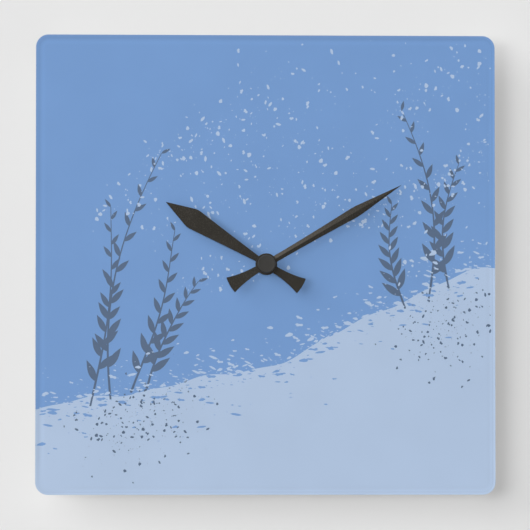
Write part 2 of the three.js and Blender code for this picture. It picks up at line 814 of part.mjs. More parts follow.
// Seconds wheel, whose spindle runs inside the minute tube
function secondsWheel() {
  const wheel = gear(secondsTeeth, secondsModule, secondsPhase, secondsLevel, secondsLevel + wheelThickness);
  const pinion = gear(
    secondsPinionTeeth, thirdModule, secondsPinionPhase, thirdLevel, thirdLevel + wheelThickness);
  const back = secondsLevel + wheelThickness + levelGap + pivotDepth;
  const spindle = rod(spindleRadius, spindleFront, back, smallFacets);
  return fuse(wheel, pinion, spindle);
}

function thirdWheel() {
  const wheel = gear(thirdTeeth, thirdModule, thirdPhase, thirdLevel, thirdLevel + wheelThickness);
  const pinion = gear(thirdPinionTeeth, centreModule, thirdPinionPhase, centreLevel, thirdLevel);
  return fuse(wheel, pinion, arbor(floorY - pivotDepth + tubeGap, centrePlateBack));
}

// Centre wheel, held on the minute shaft by friction
function centreWheel() {
  const wheel = gear(centreTeeth, centreModule, centrePhase, centreLevel, centreLevel + wheelThickness);
  const bore = minuteTubeRadius + fitGap;
  return cut(wheel, rod(bore, centreLevel - cutOverrun, centreLevel + wheelThickness + cutOverrun));
}

// Minute tube with its pinion
function minuteShaft() {
  const stem = rod(minuteTubeRadius, minuteTubeFront, centreLevel + wheelThickness);
  const pinion = gear(
    minutePinionTeeth, motionModule, minutePinionPhase, motionLevel, motionLevel + wheelThickness);
  const bore = rod(
    spindleRadius + tubeGap,
    minuteTubeFront - cutOverrun,
    centreLevel + wheelThickness + cutOverrun,
    smallFacets,
  );
  return cut(fuse(stem, pinion), bore);
}

// Motion wheel with its pinion, loose on the case's pin
function motionWheel() {
  const wheel = gear(motionTeeth, motionModule, motionPhase, motionLevel, motionLevel + wheelThickness);
  const pinion = gear(motionPinionTeeth, hourModule, motionPinionPhase, hourLevel, motionLevel + fitGap);
  const bore = rod(
    pinRadius + tubeGap, hourLevel - cutOverrun, motionLevel + wheelThickness + cutOverrun, smallFacets);
  return cut(fuse(wheel, pinion), bore);
}

// Hour wheel with its tube
function hourWheel() {
  const wheel = gear(hourTeeth, hourModule, hourPhase, hourLevel, hourLevel + wheelThickness);
  const stem = rod(hourTubeRadius, hourTubeFront, hourLevel + fitGap);
  const bore = rod(
    minuteTubeRadius + tubeGap, hourTubeFront - cutOverrun, hourLevel + wheelThickness + cutOverrun);
  return cut(fuse(wheel, stem), bore);
}

// Stem that the knob turns, with its pinion on the motion wheel
const knobBack = -seatGap;
const knobFront = knobBack - knobThickness;

function settingPinion() {
  const pinion = gear(settingTeeth, motionModule, settingPhase, motionLevel, motionLevel + wheelThickness);
  const pivot = arbor(floorY - pivotDepth + tubeGap, motionLevel + fitGap);
  const stem = rod(stemRadius, motionLevel + fitGap, knobFront);
  const tenon = rod(stemRadius / 2, knobFront - fitGap, knobFront + knobThickness / 2);
  return fuse(pinion, pivot, stem, tenon);
}

// Knob with a finger ridge across its face
function setKnob() {
  const disc = rod(knobRadius, knobFront, knobBack - knobRidgeHeight, wideFacets);
  const ridgeHalf = stemRadius / 2;
  const reach = knobRadius - seatGap;
  const ridge = block(-reach, reach, knobBack - knobRidgeHeight - fitGap, knobBack, -ridgeHalf, ridgeHalf);
  const socket = rod(stemRadius / 2 + fitGap, knobFront - cutOverrun, knobFront + knobThickness / 2 + fitGap);
  return cut(fuse(disc, ridge), socket);
}

const clock = new THREE.Group();
const hourHandMesh = part('hour_hand', hourHand(), darkPaint);
hourHandMesh.rotation.y = hourAngle;
const minuteHandMesh = part('minute_hand', minuteHand(), darkPaint);
minuteHandMesh.rotation.y = minuteAngle;

clock.add(
  part('acrylic_plate', acrylicPlate(), clearAcrylic),
  part('dial_print', dialPrint(), printInk),
  part('rubber_gasket', rubberGasket(), rubber),
  part('threaded_bush', threadedBush(), brass),
  part('brass_washer', brassWasher(), brass),
  part('lock_nut', lockNut(), brass),
  part('front_case', frontCase(), blackPlastic),
  part('rear_cover', rearCover(), blackPlastic),
  part('hanger', hanger(), blackPlastic),
  part('centre_plate', centrePlate(), whitePlastic),
  part('circuit_board', circuitBoard(), boardGreen),
  part('timing_chip', timingChip(), epoxy),
  part('quartz_crystal', quartzCrystal(), steel),
  part('positive_contact', positiveContact(), steel),
  part('negative_contact', negativeContact(), steel),
  part('coil_bobbin', coilBobbin(), whitePlastic),
  part('coil_winding', coilWinding(), copper),
  part('coil_core', coilCore(), steel),
  part('stator', stator(), steel),
  part('battery_can', batteryCan(), cellSleeve),
  part('battery_cap', batteryCap(), steel),
  hourHandMesh,
  part('hour_wheel', hourWheel(), whitePlastic),
  minuteHandMesh,
  part('cap_nut', capNut(), capPaint),
  part('minute_shaft', minuteShaft(), whitePlastic),
  part('centre_wheel', centreWheel(), whitePlastic),
  part('motion_wheel', motionWheel(), whitePlastic, motionAxis),
  part('setting_pinion', settingPinion(), whitePlastic, settingAxis),
  part('set_knob', setKnob(), whitePlastic, settingAxis),
  part('third_wheel', thirdWheel(), whitePlastic, thirdAxis),
  part('seconds_wheel', secondsWheel(), whitePlastic),
  part('intermediate_wheel', intermediateWheel(), whitePlastic, intermediateAxis),
  part('rotor_pinion', rotorPinion(), whitePlastic, rotorAxis),
  part('rotor_magnet', rotorMagnet(), ferrite, rotorAxis),
);

export default clock;
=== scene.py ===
import math

import bmesh
import bpy
from mathutils import Matrix, Vector


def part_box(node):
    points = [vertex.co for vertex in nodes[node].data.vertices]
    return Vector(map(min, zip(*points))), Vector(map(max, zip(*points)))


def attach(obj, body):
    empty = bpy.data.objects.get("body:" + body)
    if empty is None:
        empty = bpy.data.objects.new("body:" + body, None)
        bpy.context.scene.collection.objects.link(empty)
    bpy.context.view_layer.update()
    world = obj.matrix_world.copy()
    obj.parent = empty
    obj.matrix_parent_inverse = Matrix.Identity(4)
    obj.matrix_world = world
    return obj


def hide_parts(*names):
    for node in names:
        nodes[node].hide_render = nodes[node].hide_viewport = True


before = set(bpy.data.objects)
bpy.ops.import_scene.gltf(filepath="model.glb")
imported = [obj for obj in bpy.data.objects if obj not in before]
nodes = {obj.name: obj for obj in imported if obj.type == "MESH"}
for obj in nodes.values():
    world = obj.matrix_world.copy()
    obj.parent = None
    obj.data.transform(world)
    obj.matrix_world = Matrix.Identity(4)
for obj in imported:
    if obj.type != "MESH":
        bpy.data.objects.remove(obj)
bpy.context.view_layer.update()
mm = 0.001
beyond = 1.0  # millimetres that a cutting tool reaches past what it cuts
print("frame loaded:", len(nodes), "nodes")


def addObject(name, data):
    made = bpy.data.objects.new(name, data)
    bpy.context.scene.collection.objects.link(made)
    return made


# The camera stands where the photograph was taken
cameraValues = {
    "place": (-0.11, -2.532, -0.096),  # metres
    "yaw": -2.495,  # degrees, anticlockwise from square on
    "pitch": 2.18,  # degrees, upwards
    "lens": 288.0,  # millimetres
    "sensor": 36.0,
}


def makeCamera(values):
    data = bpy.data.cameras.new("camera")
    data.sensor_width = values["sensor"]
    data.lens = values["lens"]
    camera = addObject("camera", data)
    yaw, pitch = math.radians(values["yaw"]), math.radians(values["pitch"])
    ahead = Vector((-math.sin(yaw) * math.cos(pitch), math.cos(yaw) * math.cos(pitch), math.sin(pitch)))
    camera.location = values["place"]
    camera.rotation_euler = ahead.to_track_quat("-Z", "Y").to_euler()
    bpy.context.scene.camera = camera


makeCamera(cameraValues)
print("camera placed")


# Outlines are lists of (x, z) in millimetres, anticlockwise as seen from the front
def polar(radius, turn, x=0.0, z=0.0):
    return x + radius * math.cos(turn), z + radius * math.sin(turn)


def arcPoints(radius, start, end, steps, x=0.0, z=0.0):
    return [polar(radius, start + (end - start) * i / steps, x, z) for i in range(steps + 1)]


def circleOutline(radius, steps=64, x=0.0, z=0.0):
    return [polar(radius, 2 * math.pi * i / steps, x, z) for i in range(steps)]


def boxOutline(left, right, bottom, top, radius=0.0, steps=8):
    points = []
    for quarter, (sideX, sideZ) in enumerate([(1, -1), (1, 1), (-1, 1), (-1, -1)]):
        x, z = right if sideX > 0 else left, top if sideZ > 0 else bottom
        if not radius:
            points.append((x, z))
            continue
        start = math.pi / 2 * (quarter - 1)
        points += arcPoints(radius, start, start + math.pi / 2, steps, x - sideX * radius, z - sideZ * radius)
    return points


def squareOutline(side, corner, steps=8):
    return boxOutline(-side / 2, side / 2, -side / 2, side / 2, corner, steps)


def inset(outline, distance):
    moved = []
    for i, point in enumerate(outline):
        here = Vector(point)
        before = (here - Vector(outline[i - 1])).normalized()
        after = (Vector(outline[(i + 1) % len(outline)]) - here).normalized()
        firstNormal, secondNormal = Vector((-before.y, before.x)), Vector((-after.y, after.x))
        share = distance / max(1 + firstNormal.dot(secondNormal), 0.2)
        moved.append(tuple(here + share * (firstNormal + secondNormal)))
    return moved


def ringAt(mesh, outline, y):
    return [mesh.verts.new((x * mm, y * mm, z * mm)) for x, z in outline]


# Walls between neighbouring rings of vertices; a ring of one vertex is a pole
def addWalls(mesh, rings, closed=False):
    for first, second in zip(rings, rings[1:] + (rings[:1] if closed else [])):
        count = max(len(first), len(second))
        for i in range(count):
            j = (i + 1) % count
            corners = [first[i % len(first)], first[j % len(first)], second[j % len(second)], second[i % len(second)]]
            kept = list(dict.fromkeys(corners))
            if len(kept) > 2:
                mesh.faces.new(kept)


def fillRings(mesh, rings):
    edges = []
    for ring in rings:
        for i in range(len(ring)):
            pair = (ring[i - 1], ring[i])
            edges.append(mesh.edges.get(pair) or mesh.edges.new(pair))
    bmesh.ops.triangle_fill(mesh, use_beauty=True, use_dissolve=False, edges=edges)


# A quarter round at (across, along); the sides say which way the shape lies from that corner
def softCorner(across, along, edge, acrossSide, alongSide, steps=3):
    if not edge:
        return [(across, along)]
    turns = [math.pi / 2 * i / steps for i in range(steps + 1)]
    return [(across + acrossSide * edge * (1 - math.sin(a)), along + alongSide * edge * (1 - math.cos(a)))
            for a in turns]


# A flat piece with rounded edges, as rings from its back face to its front face
def addPrism(mesh, outer, front, back, frontEdge=0.0, backEdge=0.0, holes=(), holeEdge=None, steps=4):
    backRings, frontRings = [], []
    for outline, side in [(outer, 1)] + [(hole, -1) for hole in holes]:
        frontRound, backRound = frontEdge, backEdge
        if side < 0 and holeEdge is not None:
            frontRound = backRound = holeEdge
        profile = softCorner(0, back, backRound, 1, -1, steps) + softCorner(0, front, frontRound, 1, 1, steps)[::-1]
        rings = [ringAt(mesh, inset(outline, side * d) if d else outline, y) for d, y in profile]
        addWalls(mesh, rings)
        backRings.append(rings[0])
        frontRings.append(rings[-1])
    fillRings(mesh, backRings)
    fillRings(mesh, frontRings)


# A turned shape from (radius, distance along the axis); a closed profile makes a ring
def addTurned(mesh, profile, facets=72, axis="Y", x=0.0, y=0.0, z=0.0, closed=False):
    rings = []
    for radius, along in profile:
        ring = []
        for i in range(facets if radius > 0 else 1):
            across, up = polar(radius, 2 * math.pi * i / facets)
            point = (x + across, y + along, z + up) if axis == "Y" else (x + along, y + across, z + up)
            ring.append(mesh.verts.new([value * mm for value in point]))
        rings.append(ring)
    addWalls(mesh, rings, closed)


def asObject(mesh, name):
    data = bpy.data.meshes.new(name)
    mesh.to_mesh(data)
    mesh.free()
    return addObject(name, data)


def finishMesh(mesh, name, material=None, sharpAngle=32.0, weld=1e-7, least=1e-8):
    bmesh.ops.remove_doubles(mesh, verts=mesh.verts, dist=weld)
    bmesh.ops.dissolve_degenerate(mesh, edges=mesh.edges, dist=least)
    bmesh.ops.recalc_face_normals(mesh, faces=mesh.faces)
    for face in mesh.faces:
        face.smooth = True
    for edge in mesh.edges:
        edge.smooth = edge.calc_face_angle(math.pi) < math.radians(sharpAngle)
    piece = asObject(mesh, name)
    piece.data.materials.append(material)
    return piece


# Joins or cuts a piece with tool pieces, and removes the tools
def combine(piece, tools, operation, sharpAngle=32.0, weld=0.002 * mm):
    for tool in tools:
        modifier = piece.modifiers.new("combine", "BOOLEAN")
        modifier.operation = operation
        modifier.solver = "EXACT"
        modifier.object = tool
    material = piece.data.materials[0]
    name = piece.name
    evaluated = piece.evaluated_get(bpy.context.evaluated_depsgraph_get())
    made = bmesh.new()
    made.from_mesh(evaluated.to_mesh())
    for old in [piece, *tools]:
        bpy.data.objects.remove(old)
    bmesh.ops.remove_doubles(made, verts=made.verts, dist=weld)
    bmesh.ops.dissolve_degenerate(made, edges=made.edges, dist=weld)
    for face in made.faces:
        face.material_index = 0
    return finishMesh(made, name, material, sharpAngle)


def prismPiece(name, material, outer, front, back, **more):
    mesh = bmesh.new()
    addPrism(mesh, outer, front, back, **more)
    return finishMesh(mesh, name, material)


def turnedPiece(name, material, profile, **more):
    mesh = bmesh.new()
    addTurned(mesh, profile, **more)
    return finishMesh(mesh, name, material)


# Tools for combine, which keeps only the material of the piece itself
def blockTool(left, right, front, back, bottom, top, edge=0.0):
    outline = [(left, bottom), (right, bottom), (right, top), (left, top)]
    return prismPiece("block", None, outline, front, back, frontEdge=edge, backEdge=edge, steps=2)


def rodTool(radius, front, back, x=0.0, z=0.0, facets=48):
    return turnedPiece("rod", None, [(0, front), (radius, front), (radius, back), (0, back)], facets=facets, x=x, z=z)


# The weighted normals keep large flat faces flat beside their rounded edges
def place(piece, body, slot, *stoodFor):
    piece.modifiers.new("flatten", "WEIGHTED_NORMAL").keep_sharp = True
    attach(piece, body)
    if stoodFor:
        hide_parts(*stoodFor)
    return piece


def ySpan(node):
    low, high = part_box(node)
    return low.y / mm, high.y / mm


# Node trees, built in code; a value is a socket to link or a constant
def addNode(tree, kind, links=None, **settings):
    node = tree.nodes.new(kind)
    for key, value in settings.items():
        setattr(node, key, value)
    for key, value in (links or {}).items():
        socket = node.inputs[key]
        if isinstance(value, bpy.types.NodeSocket):
            tree.links.new(value, socket)
        else:
            socket.default_value = value
    return node


def calc(tree, operation, *values, **settings):
    return addNode(tree, "ShaderNodeMath", dict(enumerate(values)), operation=operation, **settings).outputs[0]


def vectorCalc(tree, operation, *values):
    node = addNode(tree, "ShaderNodeVectorMath", dict(enumerate(values)), operation=operation)
    return node.outputs["Value" if operation in ("LENGTH", "DOT_PRODUCT") else "Vector"]


def mapRange(tree, value, span, low, high, **settings):
    return addNode(tree, "ShaderNodeMapRange", {
        "Value": value, "From Min": span[0], "From Max": span[1], "To Min": low, "To Max": high},
        **settings).outputs[0]


def joinXyz(tree, x=0.0, y=0.0, z=0.0):
    return addNode(tree, "ShaderNodeCombineXYZ", {0: x, 1: y, 2: z}).outputs[0]


def splitXyz(tree, vector):
    return addNode(tree, "ShaderNodeSeparateXYZ", {0: vector}).outputs


def objectPoint(tree):
    return addNode(tree, "ShaderNodeTexCoord").outputs["Object"]


def lightPath(tree):
    return addNode(tree, "ShaderNodeLightPath").outputs


# Geometry node trees, grown on a mesh and then made plain
def newTree(name, **inputs):
    tree = bpy.data.node_groups.new(name, "GeometryNodeTree")
    tree.interface.new_socket("Geometry", in_out="INPUT", socket_type="NodeSocketGeometry")
    tree.interface.new_socket("Geometry", in_out="OUTPUT", socket_type="NodeSocketGeometry")
    for label, kind in inputs.items():
        tree.interface.new_socket(label, in_out="INPUT", socket_type="NodeSocket" + kind)
    return tree, tree.nodes.new("NodeGroupInput").outputs


def joined(tree, *parts):
    both = addNode(tree, "GeometryNodeJoinGeometry")
    for part in parts:
        tree.links.new(part, both.inputs[0])
    return both.outputs[0]


# Shifts each instance along Y by its own share, so that overlapping ones lie at different levels
def raised(tree, instances, share, step):
    lift = joinXyz(tree, y=calc(tree, "MULTIPLY", share, step))
    return addNode(tree, "GeometryNodeTranslateInstances", {
        "Instances": instances, "Translation": lift, "Local Space": False}).outputs[0]


def endTree(tree, geometry, material):
    realized = addNode(tree, "GeometryNodeRealizeInstances", {"Geometry": geometry})
    painted = addNode(tree, "GeometryNodeSetMaterial", {"Geometry": realized.outputs[0], "Material": material})
    addNode(tree, "NodeGroupOutput", {0: painted.outputs[0]})
    return tree


def grow(source, name, tree, values=()):
    modifier = source.modifiers.new("grow", "NODES")
    modifier.node_group = tree
    for item in tree.interface.items_tree:
        if item.in_out == "INPUT" and item.name in values:
            modifier[item.identifier] = values[item.name]
    source.update_tag()
    evaluated = source.evaluated_get(bpy.context.evaluated_depsgraph_get())
    data = bpy.data.meshes.new_from_object(evaluated)
    data.name = name
    bpy.data.objects.remove(source)
    return addObject(name, data)


# Materials
def newMaterial(name, sockets=None):
    material = bpy.data.materials.new(name)
    material.use_nodes = True
    shader = material.node_tree.nodes["Principled BSDF"]
    for key, value in (sockets or {}).items():
        shader.inputs[key].default_value = value
    return material, material.node_tree, shader


# What is seen is the shader's surface, or the clear one where the share is 1
def letThrough(tree, share, surface, clear):
    mix = addNode(tree, "ShaderNodeMixShader", {0: share, 1: surface.outputs[0], 2: clear.outputs[0]})
    tree.links.new(mix.outputs[0], tree.nodes["Material Output"].inputs["Surface"])


def linearOf(*colour):
    shares = [value / 255 for value in colour]
    return (*[s / 12.92 if s <= 0.04045 else ((s + 0.055) / 1.055) ** 2.4 for s in shares], 1.0)


def objectNoise(tree, scale, detail=3.0, stretch=(1.0, 1.0, 1.0)):
    mapping = addNode(tree, "ShaderNodeMapping", {"Vector": objectPoint(tree), "Scale": stretch})
    return addNode(tree, "ShaderNodeTexNoise", {
        "Vector": mapping.outputs[0], "Scale": scale, "Detail": detail}).outputs["Fac"]


# Most of a noise lies between these values
def spread(tree, noise, low=0.0, high=1.0, usual=(0.3, 0.7)):
    return mapRange(tree, noise, usual, low, high)


def shade(tree, value, low, high):
    return addNode(tree, "ShaderNodeMix", {"Factor": value, "A": low, "B": high}, data_type="RGBA").outputs["Result"]


def toned(colour, factor):
    return (*[min(1.0, value * factor) for value in colour[:3]], 1.0)


def tint(tree, shader, value, colour, tones):
    tone = shade(tree, value, toned(colour, tones[0]), toned(colour, tones[1]))
    tree.links.new(tone, shader.inputs["Base Color"])


def roughen(tree, shader, noise, span):
    tree.links.new(spread(tree, noise, *span), shader.inputs["Roughness"])


def bumpInto(tree, shader, height, depth):
    bump = addNode(tree, "ShaderNodeBump", {"Height": height, "Distance": depth * mm, "Strength": 1.0})
    tree.links.new(bump.outputs[0], shader.inputs["Normal"])


# For each surface: its colour, the tones it drifts between, its roughness, the noises of its tone
# and its grain as scale, detail and stretch, and the depth of the grain in millimetres
moulded = {"tones": (0.88, 1.1), "cloud": (180.0,), "sockets": {"Specular IOR Level": 0.45}}
rolled = {"tones": (0.82, 1.1), "cloud": (900.0, 4.0, (0.06, 1.0, 1.0)), "depth": 0.008, "sockets": {"Metallic": 1.0}}
painted = {"tones": (0.9, 1.1), "cloud": (120.0,), "grain": (2200.0, 2.0), "depth": 0.006}
surfaceValues = {
    "blackPlastic": {
        **moulded, "colour": (50, 50, 52), "roughness": (0.38, 0.56), "grain": (1000 / 0.22, 2.0), "depth": 0.012},
    "whitePlastic": {
        **moulded, "colour": (232, 230, 222), "roughness": (0.32, 0.5), "grain": (1000 / 0.6, 2.0), "depth": 0.006},
    "blackRubber": {
        **moulded, "colour": (34, 34, 34), "roughness": (0.72, 0.9), "grain": (1000 / 0.5, 2.0), "depth": 0.02},
    "platedSteel": {**rolled, "colour": (196, 198, 200), "roughness": (0.22, 0.4)},
    "sinteredMagnet": {**rolled, "colour": (92, 92, 96), "roughness": (0.42, 0.6)},
    "handPaint": {
        **painted, "colour": (52, 50, 46), "roughness": (0.19, 0.31),
        "sockets": {"Specular Tint": (1.0, 0.9, 0.8, 1.0)}},
    "capPaint": {**painted, "colour": (57, 56, 54), "roughness": (0.45, 0.57)},
    "enamelledWire": {
        "colour": (184, 100, 52), "tones": (0.75, 1.15), "roughness": (0.22, 0.4), "cloud": (700.0,),
        "sockets": {"Metallic": 1.0, "Coat Weight": 0.6, "Coat Roughness": 0.15}},
    "blackResin": {
        "colour": (22, 22, 24), "tones": (0.7, 1.4), "roughness": (0.25, 0.45), "cloud": (900.0,), "depth": 0.03,
        "sockets": {"Coat Weight": 0.5, "Coat Roughness": 0.1}},
}


def makeSurface(name, colour, tones, roughness, cloud, grain=None, depth=0.0, sockets=None):
    material, tree, shader = newMaterial(name, sockets)
    coarse = objectNoise(tree, *cloud)
    fine = objectNoise(tree, *grain) if grain else coarse
    tint(tree, shader, spread(tree, coarse), linearOf(*colour), tones)
    roughen(tree, shader, fine, roughness)
    if depth:
        bumpInto(tree, shader, fine, depth)
    return material


# Brass turned on a lathe about the clock's axis, with fine rings
brassValues = {
    "colour": (201, 163, 92),
    "tones": (0.8, 1.12),
    "roughness": (0.23, 0.42),
    "cloud": 400.0,
    "ringPitch": 0.12,
    "ringDepth": 0.006,
}


def brassMaterial():
    values = brassValues
    material, tree, shader = newMaterial("turnedBrass", {"Metallic": 1.0})
    radius = vectorCalc(tree, "LENGTH", vectorCalc(tree, "MULTIPLY", objectPoint(tree), (1.0, 0.0, 1.0)))
    wave = calc(tree, "SINE", calc(tree, "MULTIPLY", radius, 2 * math.pi / (values["ringPitch"] * mm)))
    cloud = objectNoise(tree, values["cloud"])
    tint(tree, shader, spread(tree, cloud), linearOf(*values["colour"]), values["tones"])
    roughen(tree, shader, cloud, values["roughness"])
    bumpInto(tree, shader, wave, values["ringDepth"])
    return material


# Green laminate, with the weave of its glass cloth under the lacquer
laminateValues = {
    "colour": (40, 92, 58),
    "tones": (0.85, 1.1),
    "roughness": (0.35, 0.5),
    "cloud": 500.0,
    "weave": 1600.0,
    "weaveDepth": 0.004,
    "sockets": {"Coat Weight": 0.4, "Coat Roughness": 0.2},
}


def laminateMaterial():
    values = laminateValues
    material, tree, shader = newMaterial("boardLaminate", values["sockets"])
    weave = addNode(tree, "ShaderNodeTexChecker", {"Vector": objectPoint(tree), "Scale": values["weave"]})
    tint(tree, shader, weave.outputs["Fac"], linearOf(*values["colour"]), values["tones"])
    roughen(tree, shader, objectNoise(tree, values["cloud"]), values["roughness"])
    bumpInto(tree, shader, weave.outputs["Fac"], values["weaveDepth"])
    return material


surfaces = {name: makeSurface(name, **values) for name, values in surfaceValues.items()}
surfaces["turnedBrass"] = brassMaterial()
surfaces["boardLaminate"] = laminateMaterial()

# The CAD solids that keep their own shape
dressValues = {
    "whitePlastic": [
        "centre_plate", "coil_bobbin", "hour_wheel", "minute_shaft", "centre_wheel", "motion_wheel",
        "setting_pinion", "third_wheel", "seconds_wheel", "intermediate_wheel", "rotor_pinion"],
    "platedSteel": ["quartz_crystal", "positive_contact", "negative_contact", "coil_core", "stator"],
    "boardLaminate": ["circuit_board"],
    "blackResin": ["timing_chip"],
    "sinteredMagnet": ["rotor_magnet"],
}


def dress(values):
    for surface, names in values.items():
        for name in names:
            slots = nodes[name].data.materials
            slots.clear()
            slots.append(surfaces[surface])


dress(dressValues)
print("surfaces made:", len(surfaces))

# Clear plate. A faint frame of light and shade along its polished edge is painted into the print's colour
plateValues = {
    "side": 273.0,
    "corner": 7.5,
    "frontRound": 1.0,
    "backRound": 0.25,
    "hole": 4.2,
    "holeRound": 0.3,
    "sockets": {"IOR": 1.49, "Transmission Weight": 1.0},
    "clearTint": (0.985, 0.993, 1.0, 1.0),
    "paintedRimGlow": (0.66, 0.77, 0.9, 1.0),  # painted glow: the polished rim is tinted with the print's blue, which it would carry through the whole sheet behind it
    "rimDepth": 0.3,  # how far in from the outline the rim's painted glow reaches
    "fallTint": (0.95, 0.97, 0.98, 1.0),  # of the light that falls through onto the print
    "haze": (0.0, 0.03),
    "hazeScale": 60.0,
    # distance from the edge and the painted shading there (below 1 darker, above 1 lighter), along the lit sides and
    # along the far ones
    "litEdge": [(0.0, 0.9), (1.0, 0.92), (1.9, 0.9), (2.8, 0.96), (3.5, 1.0), (4.6, 1.03), (5.9, 1.005), (7.0, 1.0)],
    "farEdge": [(0.0, 1.12), (0.8, 1.11), (1.5, 0.99), (2.4, 1.045), (3.3, 1.0), (4.3, 0.98), (5.6, 1.0), (7.0, 1.0)],
    "toneSpan": 0.25,  # of painted shading round 1 that the edges' curves can hold
    "turnover": (-20.0, 20.0),  # across the diagonal where the lit side gives way to the far one
}


def edgeDistance(tree):
    corner = plateValues["corner"]
    half = (plateValues["side"] / 2 - corner) * mm
    past = vectorCalc(tree, "SUBTRACT", vectorCalc(tree, "ABSOLUTE", objectPoint(tree)), (half, 1.0, half))
    round = vectorCalc(tree, "LENGTH", vectorCalc(tree, "MAXIMUM", past, (0.0, 0.0, 0.0)))
    parts = splitXyz(tree, past)
    inner = calc(tree, "MINIMUM", calc(tree, "MAXIMUM", parts["X"], parts["Z"]), 0.0)
    return calc(tree, "SUBTRACT", corner * mm, calc(tree, "ADD", round, inner))


# painted light and shade as a curve over the distance from the plate's edge
def paintedEdgeRamp(tree, distance, spots):
    reach, span = spots[-1][0], plateValues["toneSpan"]
    share = calc(tree, "DIVIDE", distance, reach * mm, use_clamp=True)
    ramp = addNode(tree, "ShaderNodeFloatCurve", {"Value": share})
    points = ramp.mapping.curves[0].points
    first, *between, last = [(along / reach, 0.5 + (tone - 1) / span) for along, tone in spots]
    points[0].location, points[1].location = first, last
    for spot in between:
        points.new(*spot)
    ramp.mapping.update()
    return mapRange(tree, ramp.outputs[0], (0.0, 1.0), 1 - span / 2, 1 + span / 2)


# Painted light and shade near the plate's edge, multiplied into the inks. The light comes from the upper left, so the
# two halves are painted differently
def paintedEdgeShading(tree):
    distance = edgeDistance(tree)
    parts = splitXyz(tree, objectPoint(tree))
    turnover = [across * mm for across in plateValues["turnover"]]
    far = mapRange(tree, calc(tree, "SUBTRACT", parts["X"], parts["Z"]), turnover, 0.0, 1.0)
    lit, shaded = (paintedEdgeRamp(tree, distance, plateValues[key]) for key in ("litEdge", "farEdge"))
    return addNode(tree, "ShaderNodeMix", {"Factor": far, "A": lit, "B": shaded}).outputs["Result"]


def clearAcrylicMaterial():
    values = plateValues
    material, tree, shader = newMaterial("clearAcrylic", values["sockets"])
    # the rim's base colour is painted with the print's blue, a painted glow of light carried through the sheet
    rim = mapRange(tree, edgeDistance(tree), (0.0, values["rimDepth"] * mm), 1.0, 0.0)
    tree.links.new(shade(tree, rim, values["clearTint"], values["paintedRimGlow"]), shader.inputs["Base Color"])
    roughen(tree, shader, objectNoise(tree, values["hazeScale"]), values["haze"])
    clear = addNode(tree, "ShaderNodeBsdfTransparent", {"Color": values["fallTint"]})
    path = lightPath(tree)
    straight = calc(tree, "MAXIMUM", path["Is Shadow Ray"], path["Is Diffuse Ray"])
    letThrough(tree, straight, shader, clear)
    return material


def makePlate():
    front, back = ySpan("acrylic_plate")
    values = plateValues
    sheet = prismPiece(
        "acrylicSheet", clearAcrylicMaterial(), squareOutline(values["side"], values["corner"], 16), front, back,
        frontEdge=values["frontRound"], backEdge=values["backRound"], holeEdge=values["holeRound"],
        holes=[circleOutline(values["hole"], 96)], steps=8)
    place(sheet, "clock_body", "clear_acrylic", "acrylic_plate")


makePlate()
print("plate made")

# Screen-printed inks
inkValues = {
    "tones": {  # colour and unevenness
        "field": ((122, 159, 210), 0.02),
        "hill": ((183, 201, 227), 0.02),
        "leaf": ((93, 110, 135), 0.06),
        "backing": ((205, 205, 203), 0.02),
    },
    "cloud": 25.0,
    "grain": (3000.0, 1.0),  # scale and detail
    "grainDepth": 0.004,
    "sockets": {"Roughness": 0.6, "Specular IOR Level": 0.2},
}


def printedInk(name, colour, mottle):
    values = inkValues
    material, tree, shader = newMaterial(name, values["sockets"])
    cloud, grain = objectNoise(tree, values["cloud"]), objectNoise(tree, *values["grain"])
    dark, pale = (toned(linearOf(*colour), 1 + side * mottle) for side in (-1, 1))
    tone = shade(tree, spread(tree, cloud), dark, pale)
    # the ink's colour is scaled by the painted light and shade along the plate's edge
    lit = addNode(tree, "ShaderNodeVectorMath", {0: tone, "Scale": paintedEdgeShading(tree)}, operation="SCALE")
    tree.links.new(lit.outputs[0], shader.inputs["Base Color"])
    bumpInto(tree, shader, grain, values["grainDepth"])
    return material


inks = {name: printedInk(name + "Ink", *tone) for name, tone in inkValues["tones"].items()}

# Print on the plate's back: a plain field with a rolling hill, sprigs and drifting seeds
printValues = {
    "backing": (0.0, 0.12),  # each layer's distances from the print's back face
    "field": (0.12, 0.205),  # the ink is bonded to the plate, so its fronts lie just inside it
    "hill": (0.18, 0.21),
    "leaf": (0.19, 0.215),
    "seed": (0.195, 0.225),
    "margin": 0.1,  # bare rim of clear plate round the ink
    "holeRadius": 4.4,
    "crestLeft": -92.0,
    "crestRise": 80.0,
    "crestWaves": [(9, 7.1, 0.6), (1.8, 21, 0), (0.7, 53, 1)],  # height, radians across the plate and at its left
    "crestSteps": 260,
}


def layerSpan(layer):
    back = ySpan("dial_print")[1]
    low, high = printValues[layer]
    return back - high, back - low


def crestHeight(x):
    t = (x + plateValues["side"] / 2) / plateValues["side"]
    height = printValues["crestLeft"] + printValues["crestRise"] * t * t * (3 - 2 * t)
    for reach, turns, start in printValues["crestWaves"]:
        height += reach * math.sin(turns * t + start)
    return height


def printOutline():
    margin = printValues["margin"]
    return squareOutline(plateValues["side"] - 2 * margin, plateValues["corner"] - margin, 16)


def makeField():
    hole = circleOutline(printValues["holeRadius"], 64)
    for name, layer, stoodFor in (("printBacking", "backing", ["dial_print"]), ("printField", "field", [])):
        sheet = prismPiece(name, inks[layer], printOutline(), *layerSpan(layer), holes=[hole])
        place(sheet, "clock_body", "print_ink", *stoodFor)


def makeHill():
    half, steps = plateValues["side"] / 2 - printValues["margin"], printValues["crestSteps"]
    lower = sorted(point for point in printOutline() if point[1] < -half / 2)
    crest = [half - 2 * half * i / steps for i in range(steps + 1)]
    outline = lower + [(x, crestHeight(x)) for x in crest]
    place(prismPiece("printHill", inks["hill"], outline, *layerSpan("hill")), "clock_body", "print_ink")


makeField()
makeHill()

